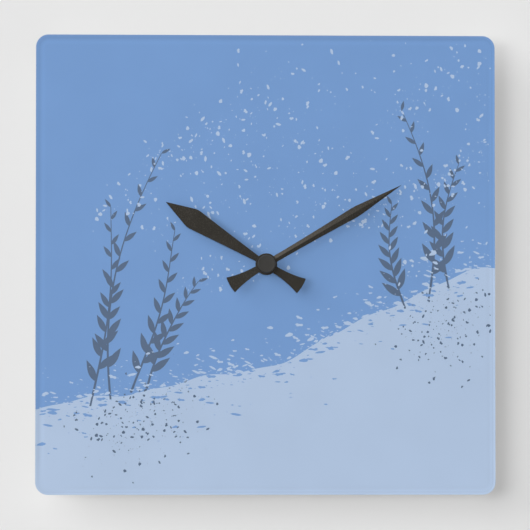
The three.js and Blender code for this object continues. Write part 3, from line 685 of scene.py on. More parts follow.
# Flake outlines as distances from the middle, at even angles
flakeShapes = {
    "broadFlake": [1.0, 0.86, 1.05, 0.78, 0.95, 1.1, 0.82, 0.9, 1.02],
    "longFlake": [1.3, 0.8, 0.55, 0.62, 0.85, 1.25, 0.7, 0.5, 0.66, 0.9],
    "notchedFlake": [1.05, 0.95, 0.52, 0.98, 1.12, 0.7, 0.9, 0.46, 0.88],
}
flakeValues = {
    "smallness": 2.6,  # above 1, most flakes are small
    "turn": 3.14,  # radians to both sides
    "turnSeed": 7.0,  # added to the seed of the places
    "alongDrift": 3.0,  # how much less the long flakes turn
    "levelStep": 0.000008,  # metres between the lowest flake and the highest
}


# Scattered seeds: small uneven flakes of ink, thick where the weight is high
def seedTree(flakes, depth):
    values = flakeValues
    tree, given = newTree(
        "seeds", Density="Float", Seed="Int", Smallest="Float", Largest="Float", Stretch="Float", Ink="Material")
    weight = addNode(tree, "GeometryNodeInputNamedAttribute", {"Name": "weight"}, data_type="FLOAT").outputs[0]
    points = addNode(tree, "GeometryNodeDistributePointsOnFaces", {
        "Mesh": given["Geometry"], "Density": calc(tree, "MULTIPLY", given["Density"], weight),
        "Seed": given["Seed"]})
    shapes = []
    for flake in flakes:
        shape = addNode(tree, "GeometryNodeObjectInfo", {"Object": flake}).outputs["Geometry"]
        shapes.append(addNode(tree, "GeometryNodeGeometryToInstance", {"Geometry": shape}).outputs[0])
    chance = addNode(tree, "FunctionNodeRandomValue", {"Seed": given["Seed"]}, data_type="FLOAT").outputs[1]
    small = calc(tree, "POWER", chance, values["smallness"])
    size = mapRange(tree, small, (0.0, 1.0), given["Smallest"], given["Largest"])
    long = calc(tree, "MULTIPLY", size, given["Stretch"])
    otherSeed = calc(tree, "ADD", given["Seed"], values["turnSeed"])
    angle = addNode(tree, "FunctionNodeRandomValue", {"Seed": otherSeed}, data_type="FLOAT").outputs[1]
    around = mapRange(tree, angle, (0.0, 1.0), -values["turn"], values["turn"])
    eased = calc(tree, "DIVIDE", around, calc(tree, "POWER", given["Stretch"], values["alongDrift"]))
    which = addNode(tree, "FunctionNodeRandomValue", {4: 0, 5: len(flakes) - 1}, data_type="INT").outputs[2]
    spots = addNode(tree, "GeometryNodeInstanceOnPoints", {
        "Points": points.outputs["Points"], "Instance": joined(tree, *shapes), "Pick Instance": True,
        "Instance Index": which, "Rotation": joinXyz(tree, y=eased), "Scale": joinXyz(tree, long, depth, size)})
    return endTree(tree, raised(tree, spots.outputs[0], chance, values["levelStep"]), given["Ink"])


# A flat shape as deep as the ink, for a node tree to repeat
def smallShape(name, outline, depth, filled=False):
    mesh = bmesh.new()
    rings = [[mesh.verts.new((x, y, z)) for x, z in outline] for y in (depth / 2, -depth / 2)]
    addWalls(mesh, rings)
    for ring in rings:
        if filled:
            fillRings(mesh, [ring])
        else:
            mesh.faces.new(ring)
    return finishMesh(mesh, name, inks["leaf"])


def makeFlakes():
    flakes = []
    for name, reaches in flakeShapes.items():
        outline = [polar(reach, 2 * math.pi * i / len(reaches)) for i, reach in enumerate(reaches)]
        flakes.append(smallShape(name, outline, 1.0))
    return flakes


# A sheet of weighted cells for the seeds to fall on, removed once they have
def seedBed(weightAt, y, cell=3.0, margin=2.6, least=0.004):
    half = plateValues["side"] / 2 - margin
    count = int(2 * half / cell)
    mesh = bmesh.new()
    layer = mesh.verts.layers.float.new("weight")
    grid = {}
    for i in range(count + 1):
        for j in range(count + 1):
            x, z = -half + 2 * half * i / count, -half + 2 * half * j / count
            vertex = mesh.verts.new((x * mm, y * mm, z * mm))
            vertex[layer] = max(0.0, min(1.0, weightAt(x, z)))
            grid[i, j] = vertex
    for i in range(count):
        for j in range(count):
            cells = (grid[i, j], grid[i + 1, j], grid[i + 1, j + 1], grid[i, j + 1])
            if max(vertex[layer] for vertex in cells) > least:
                mesh.faces.new(cells)
    return asObject(mesh, "seedBed")


sprigValues = {
    "stems": [  # root x, root z, height, lean, bend
        (-104, -84, 118, 12, 16),
        (-92, -80, 146, 30, -10),
        (-80, -76, 96, 26, 22),
        (-70, -72, 62, 30, 8),
        (83, -26, 62, -8, -14),
        (97, -20, 112, -16, 12),
        (109, -14, 74, 6, -10),
    ],
    "stemRadius": 0.75,
    "stemTaper": 0.35,  # share of that radius at the tip
    "stemSteps": 24,
    "stemFacets": 8,
    "leafLength": 15.0,
    "leafWidth": 4.6,
    "leafSteps": 10,
    "leafBelly": 0.8,  # below 1, the leaf is widest nearer its foot
    "leaves": 17,
    "leafLean": 0.62,  # radians from the stem
    "bareShare": 0.12,  # of the stem, without leaves
    "tipShare": 0.4,  # size of the last leaf
    "levels": 29.0,  # at which the leaves lie in turn
    "levelStep": 0.00000015,  # metres from one to the next
}
driftValues = {
    "reach": 90,  # millimetres over which a drift unfolds
    "start": -0.15,
    "strength": 0.5,
    "rise": 26,
    "wave": (12, 2.6),
    "width": (8, 20),  # at the head, and what each reach adds
    "fade": 1.4,
}
bandValues = {  # strength, middle above the crest and width of each band
    "spray": [(0.9, 1, 5), (0.2, 9, 9)],
    "sprayFrom": -1,
    "gaps": [(0.8, -4, 5), (0.12, -16, 14)],
    "gapsTo": -0.6,
}
litterValues = {
    "strength": 0.5,
    "right": 12,  # of each sprig's root
    "below": 14,
    "size": (20, 18),
    "aboveCrest": 0.4,  # share of the litter's strength there
}


def bell(value, width):
    return math.exp(-(value / width) ** 2)


def bands(above, key):
    return sum(strength * bell(above - middle, width) for strength, middle, width in bandValues[key])


def stemPoint(stem, t):
    rootX, rootZ, height, lean, bow = stem
    return rootX + lean * t * t + bow * math.sin(math.pi * t) * 0.5, rootZ + height * t


# Seeds blow from the sprigs' heads to the right and thin out
def driftWeight(x, z):
    values, weight = driftValues, 0.0
    waveReach, waveTurn = values["wave"]
    width, widening = values["width"]
    for stem in sprigValues["stems"]:
        headX, headZ = stemPoint(stem, 1.0)
        away = (x - headX) / values["reach"]
        if away > values["start"]:
            middle = headZ + values["rise"] * away + waveReach * math.sin(waveTurn * away)
            past = max(away, 0)
            weight += (values["strength"] * bell(z - middle, width + widening * past)
                       * math.exp(-values["fade"] * past))
    return weight


def sprayWeight(x, z):
    above = z - crestHeight(x)
    return bands(above, "spray") if above > bandValues["sprayFrom"] else 0.0


def gapWeight(x, z):
    above = z - crestHeight(x)
    return bands(above, "gaps") if above < bandValues["gapsTo"] else 0.0


def litterWeight(x, z):
    values, weight = litterValues, 0.0
    width, height = values["size"]
    for rootX, rootZ, *_ in sprigValues["stems"]:
        across = values["strength"] * bell(x - rootX - values["right"], width)
        weight += across * bell(z - rootZ + values["below"], height)
    return weight if z < crestHeight(x) - 1 else weight * values["aboveCrest"]


seedValues = [  # name, weight, ink, density a square metre, seed, smallest, largest, stretch
    ("printDrift", driftWeight, "hill", 150000.0, 11, 0.35, 2.8, 1.1),
    ("printSpray", sprayWeight, "hill", 150000.0, 23, 0.4, 2.6, 1.9),
    ("printGaps", gapWeight, "field", 90000.0, 31, 0.4, 2.6, 2.4),
    ("printLitter", litterWeight, "leaf", 120000.0, 47, 0.35, 2.2, 1.0),
]


def makeSeeds():
    flakes, (front, back) = makeFlakes(), layerSpan("seed")
    tree = seedTree(flakes, (back - front) * mm)
    for name, weightAt, ink, density, seed, smallest, largest, stretch in seedValues:
        bed = seedBed(weightAt, (front + back) / 2)
        piece = grow(bed, name, tree, {
            "Density": density, "Seed": seed, "Smallest": smallest * mm / 2, "Largest": largest * mm / 2,
            "Stretch": stretch, "Ink": inks[ink]})
        place(piece, "clock_body", "print_ink")
        print(name, len(piece.data.polygons), "faces")
    for flake in flakes:
        bpy.data.objects.remove(flake)


makeSeeds()


# Sprigs: tapering stems with leaves on alternate sides
def sprigTree(leaf, level, depth):
    values = sprigValues
    radius, length, lean = values["stemRadius"] * mm, values["leafLength"] * mm, values["leafLean"]
    tree, given = newTree("sprigs")
    curve = addNode(tree, "GeometryNodeMeshToCurve", {"Mesh": given["Geometry"]}).outputs[0]
    along = addNode(tree, "GeometryNodeSplineParameter").outputs["Factor"]
    taper = mapRange(tree, along, (0.0, 1.0), 1.0, values["stemTaper"])
    thin = addNode(tree, "GeometryNodeSetCurveRadius", {"Curve": curve, "Radius": taper})
    ring = addNode(tree, "GeometryNodeCurvePrimitiveCircle", {"Resolution": values["stemFacets"], "Radius": radius})
    stems = addNode(tree, "GeometryNodeCurveToMesh", {
        "Curve": thin.outputs[0], "Profile Curve": ring.outputs[0], "Scale": taper, "Fill Caps": True})
    # the round stems are pressed flat to the ink's depth
    where = splitXyz(tree, addNode(tree, "GeometryNodeInputPosition").outputs[0])
    above = calc(tree, "MULTIPLY", calc(tree, "SUBTRACT", where["Y"], level), depth / radius / 2)
    flatStems = addNode(tree, "GeometryNodeSetPosition", {
        "Geometry": stems.outputs[0],
        "Position": joinXyz(tree, where["X"], calc(tree, "ADD", above, level), where["Z"])})
    spaced = addNode(tree, "GeometryNodeResampleCurve", {"Curve": curve, "Count": values["leaves"]})
    tangent = splitXyz(tree, addNode(tree, "GeometryNodeInputTangent").outputs[0])
    heading = calc(tree, "ARCTAN2", tangent["X"], tangent["Z"])
    index = addNode(tree, "GeometryNodeInputIndex").outputs[0]
    turn = mapRange(tree, calc(tree, "FLOORED_MODULO", index, 2.0), (0.0, 1.0), -lean, lean)
    size = mapRange(tree, along, (0.0, 1.0), length, length * values["tipShare"])
    leafy = addNode(
        tree, "FunctionNodeCompare", {0: along, 1: values["bareShare"]}, data_type="FLOAT",
        operation="GREATER_THAN")
    shape = addNode(tree, "GeometryNodeObjectInfo", {"Object": leaf})
    leaves = addNode(tree, "GeometryNodeInstanceOnPoints", {
        "Points": spaced.outputs[0], "Selection": leafy.outputs[0], "Instance": shape.outputs["Geometry"],
        "Rotation": joinXyz(tree, y=calc(tree, "ADD", heading, turn)), "Scale": joinXyz(tree, size, 1.0, size)})
    levels = calc(tree, "FLOORED_MODULO", index, values["levels"])
    whole = joined(tree, flatStems.outputs[0], raised(tree, leaves.outputs[0], levels, values["levelStep"]))
    return endTree(tree, whole, inks["leaf"])


# One leaf of length 1 along Z, standing on its own foot
def makeLeaf(depth):
    share = sprigValues["leafWidth"] / sprigValues["leafLength"] / 2
    steps, belly = sprigValues["leafSteps"], sprigValues["leafBelly"]
    right = [(share * math.sin(math.pi * (i / steps) ** belly), i / steps) for i in range(1, steps)]
    outline = [(0.0, 0.0)] + right + [(0.0, 1.0)] + [(-x, z) for x, z in reversed(right)]
    return smallShape("leaf", outline, depth, filled=True)


def makeSprigs():
    values = sprigValues
    front, back = layerSpan("leaf")
    level, depth, steps = (front + back) / 2 * mm, (back - front) * mm, values["stemSteps"]
    mesh = bmesh.new()
    for stem in values["stems"]:
        spots = [stemPoint(stem, i / steps) for i in range(steps + 1)]
        line = [mesh.verts.new((x * mm, level, z * mm)) for x, z in spots]
        for pair in zip(line, line[1:]):
            mesh.edges.new(pair)
    leaf = makeLeaf(depth)
    piece = grow(asObject(mesh, "stems"), "printSprigs", sprigTree(leaf, level, depth))
    bpy.data.objects.remove(leaf)
    place(piece, "clock_body", "print_ink")
    print("sprigs", len(piece.data.polygons), "faces")


makeSprigs()
print("print made")

# Hands: flat stampings with a crease along the middle, a round boss and a collet behind
handValues = {
    "tailLength": 25.0,
    "tailWidth": 10.15,
    "tailWaist": 0.62,  # share of the tail at which its side is drawn in
    "neckWidth": 4.1,
    "bossRadius": 6.4,
    "bossEdge": 0.12,
    "crease": 0.34,  # how far the middle stands in front of the edges
    "creaseEnd": 9.0,  # how far behind the axis the crease has faded out
    "thickness": 0.5,
    "proud": 0.02,  # no face of the boss lies in one plane with the blade's
    "sunk": 0.03,
    "colletRadius": 3.6,
    "colletEdge": 0.15,
    "colletRoot": 0.1,
    "sharpAngle": 8.0,
    "joinedAngle": 5.0,  # the same once boss, collet and bore are in
    "shoulderRound": (0.05, 0.1),  # shares of the sides before and after the shoulder
    "hour": {"length": 70.1, "root": 3.0, "waist": 7.0, "shoulder": 12.5, "shoulderAt": 51.4, "turn": 301.75,
             "bore": 2.55},
    "minute": {"length": 93.3, "root": 3.9, "waist": 4.1, "shoulder": 6.4, "shoulderAt": 62.0, "turn": 59.6,
               "bore": 1.55},
}


def towards(start, end, share):
    return tuple(a + share * (b - a) for a, b in zip(start, end))


def bend(start, control, end, steps):
    shares = [i / steps for i in range(1, steps + 1)]
    return [towards(towards(start, control, t), towards(control, end, t), t) for t in shares]


# The right-hand side of a hand that points up, from the tail's end to the tip
def handSide(values):
    tail, boss = handValues["tailLength"], handValues["bossRadius"]
    tailHalf, neckHalf = handValues["tailWidth"] / 2, handValues["neckWidth"] / 2
    root, tip = (values["root"] / 2, boss / 2), (0.0, values["length"])
    shoulder = (values["shoulder"] / 2, values["shoulderAt"])
    corner = math.asin(tailHalf / tail)
    side = arcPoints(tail, -math.pi / 2, corner - math.pi / 2, 8)
    side += bend(side[-1], (neckHalf, -handValues["tailWaist"] * tail), (neckHalf, -boss / 2), 8)
    side.append(root)
    before, after = handValues["shoulderRound"]
    bladeEnd, tipStart = towards(shoulder, root, before), towards(shoulder, tip, after)
    side += bend(root, (values["waist"] / 2, values["shoulderAt"] / 2), bladeEnd, 12)
    side += bend(bladeEnd, shoulder, tipStart, 5)
    side += [towards(tipStart, tip, i / 6) for i in range(1, 7)]
    return side


def makeHand(name, node, values, body):
    shared, material = handValues, surfaces["handPaint"]
    low, high = ySpan(node)
    front, back = low, low + shared["thickness"]
    bossBack, top = back - shared["sunk"], front + shared["proud"]
    edge = front + shared["crease"]
    mesh = bmesh.new()
    rings = []
    for x, z in handSide(values):
        # the crease fades out along the point and behind the boss, so its slopes stay flat
        pointFade = (values["length"] - z) / (values["length"] - values["shoulderAt"])
        fade = min(1.0, pointFade, max(0.0, 1 + z / shared["creaseEnd"]))
        points = [(0, edge - (edge - top) * fade), (x, edge), (x, back), (-x, back), (-x, edge)]
        rings.append([mesh.verts.new((across * mm, y * mm, z * mm)) for across, y in points])
    addWalls(mesh, rings)
    bmesh.ops.triangulate(mesh, faces=mesh.faces)
    blade = finishMesh(mesh, name, material, shared["sharpAngle"])
    bossRadius, radius, colletEdge = shared["bossRadius"], shared["colletRadius"], shared["colletEdge"]
    boss = turnedPiece("boss", None, [
        (0, front), *softCorner(bossRadius, front, shared["bossEdge"], -1, 1), (bossRadius, bossBack),
        (0, bossBack)], facets=96)
    root = back - shared["colletRoot"]
    collet = turnedPiece("collet", None, [
        (0, root), (radius, root), (radius, high - colletEdge), (radius - colletEdge, high), (0, high)], facets=64)
    bore = rodTool(values["bore"], front - beyond, high + beyond, facets=64)
    joinedAngle = shared["joinedAngle"]
    hand = combine(combine(blade, [boss, collet], "UNION", joinedAngle), [bore], "DIFFERENCE", joinedAngle)
    hand.data.transform(Matrix.Rotation(math.radians(values["turn"]), 4, "Y"))
    place(hand, body, "hand_paint", node)


makeHand("hourBlade", "hour_hand", handValues["hour"], "hour_arbor")
makeHand("minuteBlade", "minute_hand", handValues["minute"], "minute_arbor")
print("hands made")

# Cap over the hands, and the parts that clamp the movement to the plate
stackValues = {
    "capRadius": 5.3,
    "capRound": 0.55,
    "capRim": 0.75,
    "capDish": [(0.5, 0.12), (0.1, 0.02), (0, 0)],  # distance inside the rim, and depth there
    "capBore": 1.55,
    "capBoreDepth": 2.0,
    "threadPitch": 0.79,
    "threadDepth": 0.36,
    "threadRows": 84,
    "leadIn": (0.5, 0.3),  # length and depth of the thread's lead-in
    "bushRadius": 4.0,
    "bushBore": 2.7,
    "shoulderRadius": 5.5,
    "shoulderDepth": 0.8,
    "edge": 0.1,  # of the cap's back, the bush's mouth and its shoulder
    "nutFlats": 10.0,
    "nutBore": 4.05,
    "nutEdge": 0.25,
    "nutFace": 0.99,  # share of the flats' reach that the round faces have
    "nutChamfer": 0.55,  # rise of the corners' chamfer
    "washerRadius": 6.0,
    "washerBore": 4.2,
    "washerEdge": 0.12,
    "gasketRadius": 13.0,
    "gasketBore": 5.7,
    "gasketEdge": 0.3,
}


def makeCap():
    values = stackValues
    front, back = ySpan("cap_nut")
    radius, bore, edge = values["capRadius"], values["capBore"], values["edge"]
    rim, floor = radius - values["capRim"], back - values["capBoreDepth"]
    dish = [(rim - inside, front + depth) for inside, depth in values["capDish"]]
    profile = [(0, dish[0][1])] + dish
    profile += softCorner(radius, front, values["capRound"], -1, 1, 6)
    profile += [(radius, back - edge), (radius - edge, back), (bore, back), (bore, floor), (0, floor)]
    place(turnedPiece("roundCap", surfaces["capPaint"], profile, facets=96), "minute_arbor", "cap_paint", "cap_nut")


def makeBush(facets=64):
    values = stackValues
    front, back = ySpan("threaded_bush")
    shoulderBack = ySpan("rubber_gasket")[1]
    shoulderFront = shoulderBack - values["shoulderDepth"]
    pitch, depth, radius, edge = (values[key] for key in ("threadPitch", "threadDepth", "bushRadius", "edge"))
    leadLength, leadDepth = values["leadIn"]
    bore, shoulder, rows = values["bushBore"], values["shoulderRadius"], values["threadRows"]
    mesh = bmesh.new()
    rings = [ringAt(mesh, circleOutline(r, facets), front) for r in (bore, radius - depth - edge)]
    for row in range(1, rows):
        y = front + (shoulderFront - front) * row / rows
        lead = leadDepth * (1 - min(1.0, (y - front) / leadLength))
        outline = []
        for i in range(facets):
            phase = (y / pitch - i / facets) % 1
            outline.append(polar(radius - depth * abs(2 * phase - 1) - lead, 2 * math.pi * i / facets))
        rings.append(ringAt(mesh, outline, y))
    for r, y in [(radius, shoulderFront), (shoulder - edge, shoulderFront), (shoulder, shoulderFront + edge),
                 (shoulder, shoulderBack), (radius, shoulderBack), (radius, back), (bore, back)]:
        rings.append(ringAt(mesh, circleOutline(r, facets), y))
    addWalls(mesh, rings, True)
    place(finishMesh(mesh, "bushThread", surfaces["turnedBrass"]), "clock_body", "brass", "threaded_bush")


def makeNut(facets=96):
    front, back = ySpan("lock_nut")
    half, bore, edge = stackValues["nutFlats"] / 2, stackValues["nutBore"], stackValues["nutEdge"]
    face = half * stackValues["nutFace"]
    mesh = bmesh.new()
    rings = []
    # radius, or none for the hexagon's own reach, then place and the side to which the chamfer leans
    for radius, y, side in [
            (bore, front + edge, 0), (bore + edge, front, 0), (face, front, 0), (None, front, 1),
            (None, back, -1), (face, back, 0), (bore + edge, back, 0), (bore, back - edge, 0)]:
        ring = []
        for i in range(facets):
            a = 2 * math.pi * i / facets
            reach = half / math.cos(a % (math.pi / 3) - math.pi / 6)
            x, z = polar(radius or reach, a + math.pi / 6)
            level = y + side * (reach - face) * stackValues["nutChamfer"]
            ring.append(mesh.verts.new((x * mm, level * mm, z * mm)))
        rings.append(ring)
    addWalls(mesh, rings, True)
    place(finishMesh(mesh, "hexNut", surfaces["turnedBrass"]), "clock_body", "brass", "lock_nut")


def makeRing(name, surface, slot, node, key):
    front, back = ySpan(node)
    radius, bore, edge = (stackValues[key + part] for part in ("Radius", "Bore", "Edge"))
    profile = softCorner(radius, front, edge, -1, 1) + softCorner(radius, back, edge, -1, -1)[::-1]
    profile += softCorner(bore, back, edge, 1, -1) + softCorner(bore, front, edge, 1, 1)[::-1]
    place(turnedPiece(name, surfaces[surface], profile, facets=96, closed=True), "clock_body", slot, node)


makeCap()
makeBush()
makeNut()
makeRing("flatWasher", "turnedBrass", "brass", "brass_washer", "washer")
makeRing("softGasket", "blackRubber", "black_rubber", "rubber_gasket", "gasket")
print("stack made")

# Movement case: a deep front half and a flat rear cover that snaps into it
caseValues = {
    "outer": 56.0,
    "corner": 2.5,
    "hollow": 53.6,
    "hollowCorner": 1.3,
    "wall": 1.2,
    "edge": 0.8,
    "backEdge": 0.08,
    "bushHole": 4.05,
    "rib": (-25.6, 25.6, -12.1, -11.1),  # left, right, bottom, top
    "ribGap": 0.3,  # between the rib and the cover
    "posts": [(-10.02, -7.71), (20.81, -7.71), (-9.06, 15.03), (15.03, 15.03)],
    "boardPosts": [(-24.8, 24.8), (-12.36, 24.8)],
    "postRadius": 1.5,
    "pinRadius": 0.8,
    "postFront": -9.2,
    "boardFront": -7.0,
    "pinFront": -3.9,
    "motionPin": (-6.859, 3.96, -12.2),
    "pivots": [(10.2, 0.0), (-15.769, 3.96)],
    "pivotRadius": 0.7,
    "pivotDepth": 0.6,
    "slots": [-10.0, 10.0],  # for the hanger's feet
    "slotHalf": 1.2,
    "slotMiddle": -5.4,
    "slotReach": 2.4,  # down from the case's top
    "catch": (2.0, 0.3, 1.7, 1.2),  # holes for the barbs: depth, start and end from the tab's front, shortening
    "overlap": 0.1,  # how deep joined shapes reach into one another
}
coverValues = {
    "wall": 1.2,
    "edge": 0.4,
    "bay": (-26.3, 26.3, -26.8, -12.1),
    "bayCorner": 1.3,
    "well": (-15.769, 3.96),
    "wellRadius": 4.9,
    "wellWall": 0.8,
    "wellFloor": (-3.8, -3.0),
    "stemHole": 1.7,
    "bosses": [(0.0, 0.0, -6.7), (2.265, 8.452, -5.4), (2.265, 14.452, -2.8)],
    "bossRadii": (0.7, 1.3),  # of its bore and of itself
    "bossBore": 0.8,  # depth
    "panel": (-25.2, 25.2, -9.6, 25.2),
    "panelCorner": 2.0,
    "panelDepth": 0.3,
    "wellRim": 6.4,
    "markHeight": 0.28,
    "arrowRadius": 7.9,
    "arrowWidth": 0.9,
    "arrows": [(0.25, 0.75), (1.25, 1.75)],  # start and end, in half turns
    "poles": [(-22.0, 1.2), (22.0, 0.0)],  # place of each polarity mark and reach of its upright
    "poleLevel": -8.1,
    "poleBar": (0.3, 1.5),  # half width and reach
    "tabs": (25.8, 26.6, -4.2, -10.8, -2.8),  # inner, outer, front, bottom, top
    "tabEdge": 0.15,
    "barb": (0.7, 0.5, 1.5, 1.5, 0.2),  # reach, start and end from the tab's front, shortening, edge
    "overlap": 0.05,
}


def makeCase():
    values, (front, back) = caseValues, ySpan("front_case")
    floor, half, overlap = front + values["wall"], values["outer"] / 2, values["overlap"]
    shell = prismPiece(
        "movementCase", surfaces["blackPlastic"], squareOutline(values["outer"], values["corner"], 10), front, back,
        frontEdge=values["edge"], backEdge=values["backEdge"], steps=5)
    cuts = [
        prismPiece("hollow", None, squareOutline(values["hollow"], values["hollowCorner"]), floor, back + beyond),
        rodTool(values["bushHole"], front - beyond, floor + beyond),
    ]
    for x, z in values["pivots"]:
        cuts.append(rodTool(values["pivotRadius"], floor - values["pivotDepth"], floor + beyond, x, z, 24))
    reach, middle = values["slotHalf"], values["slotMiddle"]
    for x in values["slots"]:
        cuts.append(blockTool(
            x - reach, x + reach, middle - reach, middle + reach, half - values["slotReach"], half + beyond))
    tabFront, bottom, top = coverValues["tabs"][2:]
    depth, start, end, shorter = values["catch"]
    for side in (-half, half):
        cuts.append(blockTool(
            side - depth, side + depth, tabFront + start, tabFront + end, bottom + shorter, top - shorter))
    shell = combine(shell, cuts, "DIFFERENCE")
    root, postFront = floor - overlap, values["postFront"]
    left, right, ribBottom, ribTop = values["rib"]
    parts = [blockTool(left, right, root, back - values["ribGap"], ribBottom, ribTop)]
    for x, z in values["posts"]:
        parts.append(rodTool(values["postRadius"], root, postFront, x, z))
        parts.append(rodTool(values["pinRadius"], postFront - overlap, values["pinFront"], x, z))
    for x, z in values["boardPosts"]:
        parts.append(rodTool(values["postRadius"], root, values["boardFront"], x, z))
    x, z, end = values["motionPin"]
    parts.append(rodTool(values["pinRadius"], root, end, x, z))
    place(combine(shell, parts, "UNION"), "clock_body", "black_plastic", "front_case")


# A curved arrow with a head at both ends, as a flat outline
def arrowOutline(x, z, radius, width, start, end, steps=16, headHalf=1.5, headLength=1.6):
    half, head = width / 2, headHalf * width
    lean = headLength * head / radius
    outer = arcPoints(radius + half, start, end, steps, x, z)
    inner = arcPoints(radius - half, end, start, steps, x, z)
    endHead = [(radius + head, end), (radius, end + lean), (radius - head, end)]
    startHead = [(radius - head, start), (radius, start - lean), (radius + head, start)]
    return (outer + [polar(r, a, x, z) for r, a in endHead] + inner
            + [polar(r, a, x, z) for r, a in startHead])


# A bar, and with an upright a cross
def poleOutline(x, z, half, reach, upright):
    points = []
    for sideX, sideZ in ((-1, -1), (1, -1), (1, 1), (-1, 1)):
        corner = [(reach, half), (half, half), (half, upright)] if upright else [(reach, half)]
        points += [(x + sideX * across, z + sideZ * up) for across, up in corner[::sideX * sideZ]]
    return points


def makeCover():
    values, material = coverValues, surfaces["blackPlastic"]
    front, back = -values["wall"], 0.0
    wellX, wellZ = values["well"]
    radius, wall, stem = values["wellRadius"], values["wellWall"], values["stemHole"]
    sheet = prismPiece(
        "rearShell", material, squareOutline(caseValues["outer"], caseValues["corner"], 10), front, back,
        backEdge=values["edge"], steps=4, holeEdge=0.0,
        holes=[boxOutline(*values["bay"], values["bayCorner"]), circleOutline(radius, 64, wellX, wellZ)])
    panel = prismPiece(
        "panel", None, boxOutline(*values["panel"], values["panelCorner"]), -values["panelDepth"], beyond,
        holes=[circleOutline(values["wellRim"], 64, wellX, wellZ)])
    sheet = combine(sheet, [panel], "DIFFERENCE")
    overlap = values["overlap"]
    root = front + overlap
    floorFront, floorBack = values["wellFloor"]
    parts = [turnedPiece("well", None, [
        (stem, floorFront), (radius + wall, floorFront), (radius + wall, root), (radius, root),
        (radius, floorBack), (stem, floorBack)], facets=64, x=wellX, z=wellZ, closed=True)]
    bore, outer = values["bossRadii"]
    for x, z, start in values["bosses"]:
        end = start + values["bossBore"]
        parts.append(turnedPiece("boss", None, [
            (0, end), (bore, end), (bore, start), (outer, start), (outer, root), (0, root)], facets=32, x=x, z=z))
    inner, outer, tabFront, bottom, top = values["tabs"]
    reach, barbStart, barbEnd, shorter, barbEdge = values["barb"]
    for side in (-1, 1):
        left, right = sorted((side * inner, side * outer))
        parts.append(blockTool(left, right, tabFront, root, bottom, top, values["tabEdge"]))
        left, right = sorted((side * (outer - 2 * overlap), side * (outer + reach)))
        parts.append(blockTool(
            left, right, tabFront + barbStart, tabFront + barbEnd, bottom + shorter, top - shorter, barbEdge))
    marks = [arrowOutline(
        wellX, wellZ, values["arrowRadius"], values["arrowWidth"], math.pi * start, math.pi * end)
        for start, end in values["arrows"]]
    marks += [poleOutline(x, values["poleLevel"], *values["poleBar"], upright) for x, upright in values["poles"]]
    low, high = -values["panelDepth"] - overlap, -values["panelDepth"] + values["markHeight"]
    parts += [prismPiece("mark", None, outline, low, high) for outline in marks]
    place(combine(sheet, parts, "UNION"), "clock_body", "black_plastic", "rear_cover")


makeCase()
makeCover()
print("case and cover made")

# Hanger: a loop with a nail's eye, on a foot with two prongs in the case's top wall
hangerValues = {
    "loop": (9.0, 6.1, 28.0, 43.0),  # foot half, crown half, bottom, top
    "eye": (5.0, 3.6, 31.5, 40.5),
    "loopDepth": (-4.2, -1.2),
    "edge": 0.6,
    "base": (-12.0, 12.0, -9.4, -1.2, 28.0, 29.5),  # left, right, front, back, bottom, top
    "baseEdge": 0.3,
    "prongs": [-10.0, 10.0],
    "prongHalf": 1.0,
    "prongMiddle": -5.4,
    "prongSpan": (26.8, 28.3),
}


def crownedOutline(footHalf, crownHalf, bottom, top, steps=32):
    return [(-footHalf, bottom), (footHalf, bottom)] + arcPoints(crownHalf, 0.0, math.pi, steps, 0.0, top - crownHalf)


def makeHanger():
    values = hangerValues
    loop = prismPiece(
        "nailLoop", surfaces["blackPlastic"], crownedOutline(*values["loop"]), *values["loopDepth"],
        frontEdge=values["edge"], backEdge=values["edge"], holes=[crownedOutline(*values["eye"])])
    reach, middle = values["prongHalf"], values["prongMiddle"]
    parts = [blockTool(*values["base"], values["baseEdge"])]
    for x in values["prongs"]:
        parts.append(blockTool(x - reach, x + reach, middle - reach, middle + reach, *values["prongSpan"]))
    place(combine(loop, parts, "UNION"), "clock_body", "black_plastic", "hanger")


makeHanger()
print("hanger made")

# Setting knob with a finely ribbed rim and a finger ridge
knobValues = {
    "radius": 4.6,
    "ribs": 44,
    "ribSteps": 6,
    "ribDepth": 0.14,
    "discBack": -1.1,
    "ridge": (4.3, 0.75),  # reach and half width
    "ridgeCorner": 0.7,
    "ridgeEdge": 0.3,
    "ridgeRoot": 0.4,
    "edge": 0.25,
    "socketRadius": 0.8,
    "socketBack": -1.45,
}


def makeKnob():
    values, material = knobValues, surfaces["whitePlastic"]
    front, back = ySpan("set_knob")
    x, z = coverValues["well"]
    edge, discBack, ribs = values["edge"], values["discBack"], values["ribs"]
    steps = ribs * values["ribSteps"]
    mesh = bmesh.new()
    rings = []
    for inwards, y in softCorner(0, discBack, edge, 1, -1) + softCorner(0, front, edge, 1, 1)[::-1]:
        outline = []
        for i in range(steps):
            a = 2 * math.pi * i / steps
            rib = values["ribDepth"] * (0.5 - 0.5 * math.cos(a * ribs)) * (1 - inwards / edge)
            outline.append(polar(values["radius"] - inwards - rib, a, x, z))
        rings.append(ringAt(mesh, outline, y))
    addWalls(mesh, rings)
    mesh.faces.new(rings[0])
    mesh.faces.new(rings[-1])
    disc = finishMesh(mesh, "ribbedKnob", material)
    reach, half = values["ridge"]
    ridge = prismPiece(
        "ridge", None, boxOutline(x - reach, x + reach, z - half, z + half, values["ridgeCorner"]),
        discBack - values["ridgeRoot"], back, backEdge=values["ridgeEdge"])
    socket = rodTool(values["socketRadius"], front - beyond, values["socketBack"], x, z, 32)
    knob = combine(combine(disc, [ridge], "UNION"), [socket], "DIFFERENCE")
    place(knob, "setting_arbor", "white_plastic", "set_knob")


makeKnob()
print("knob made")

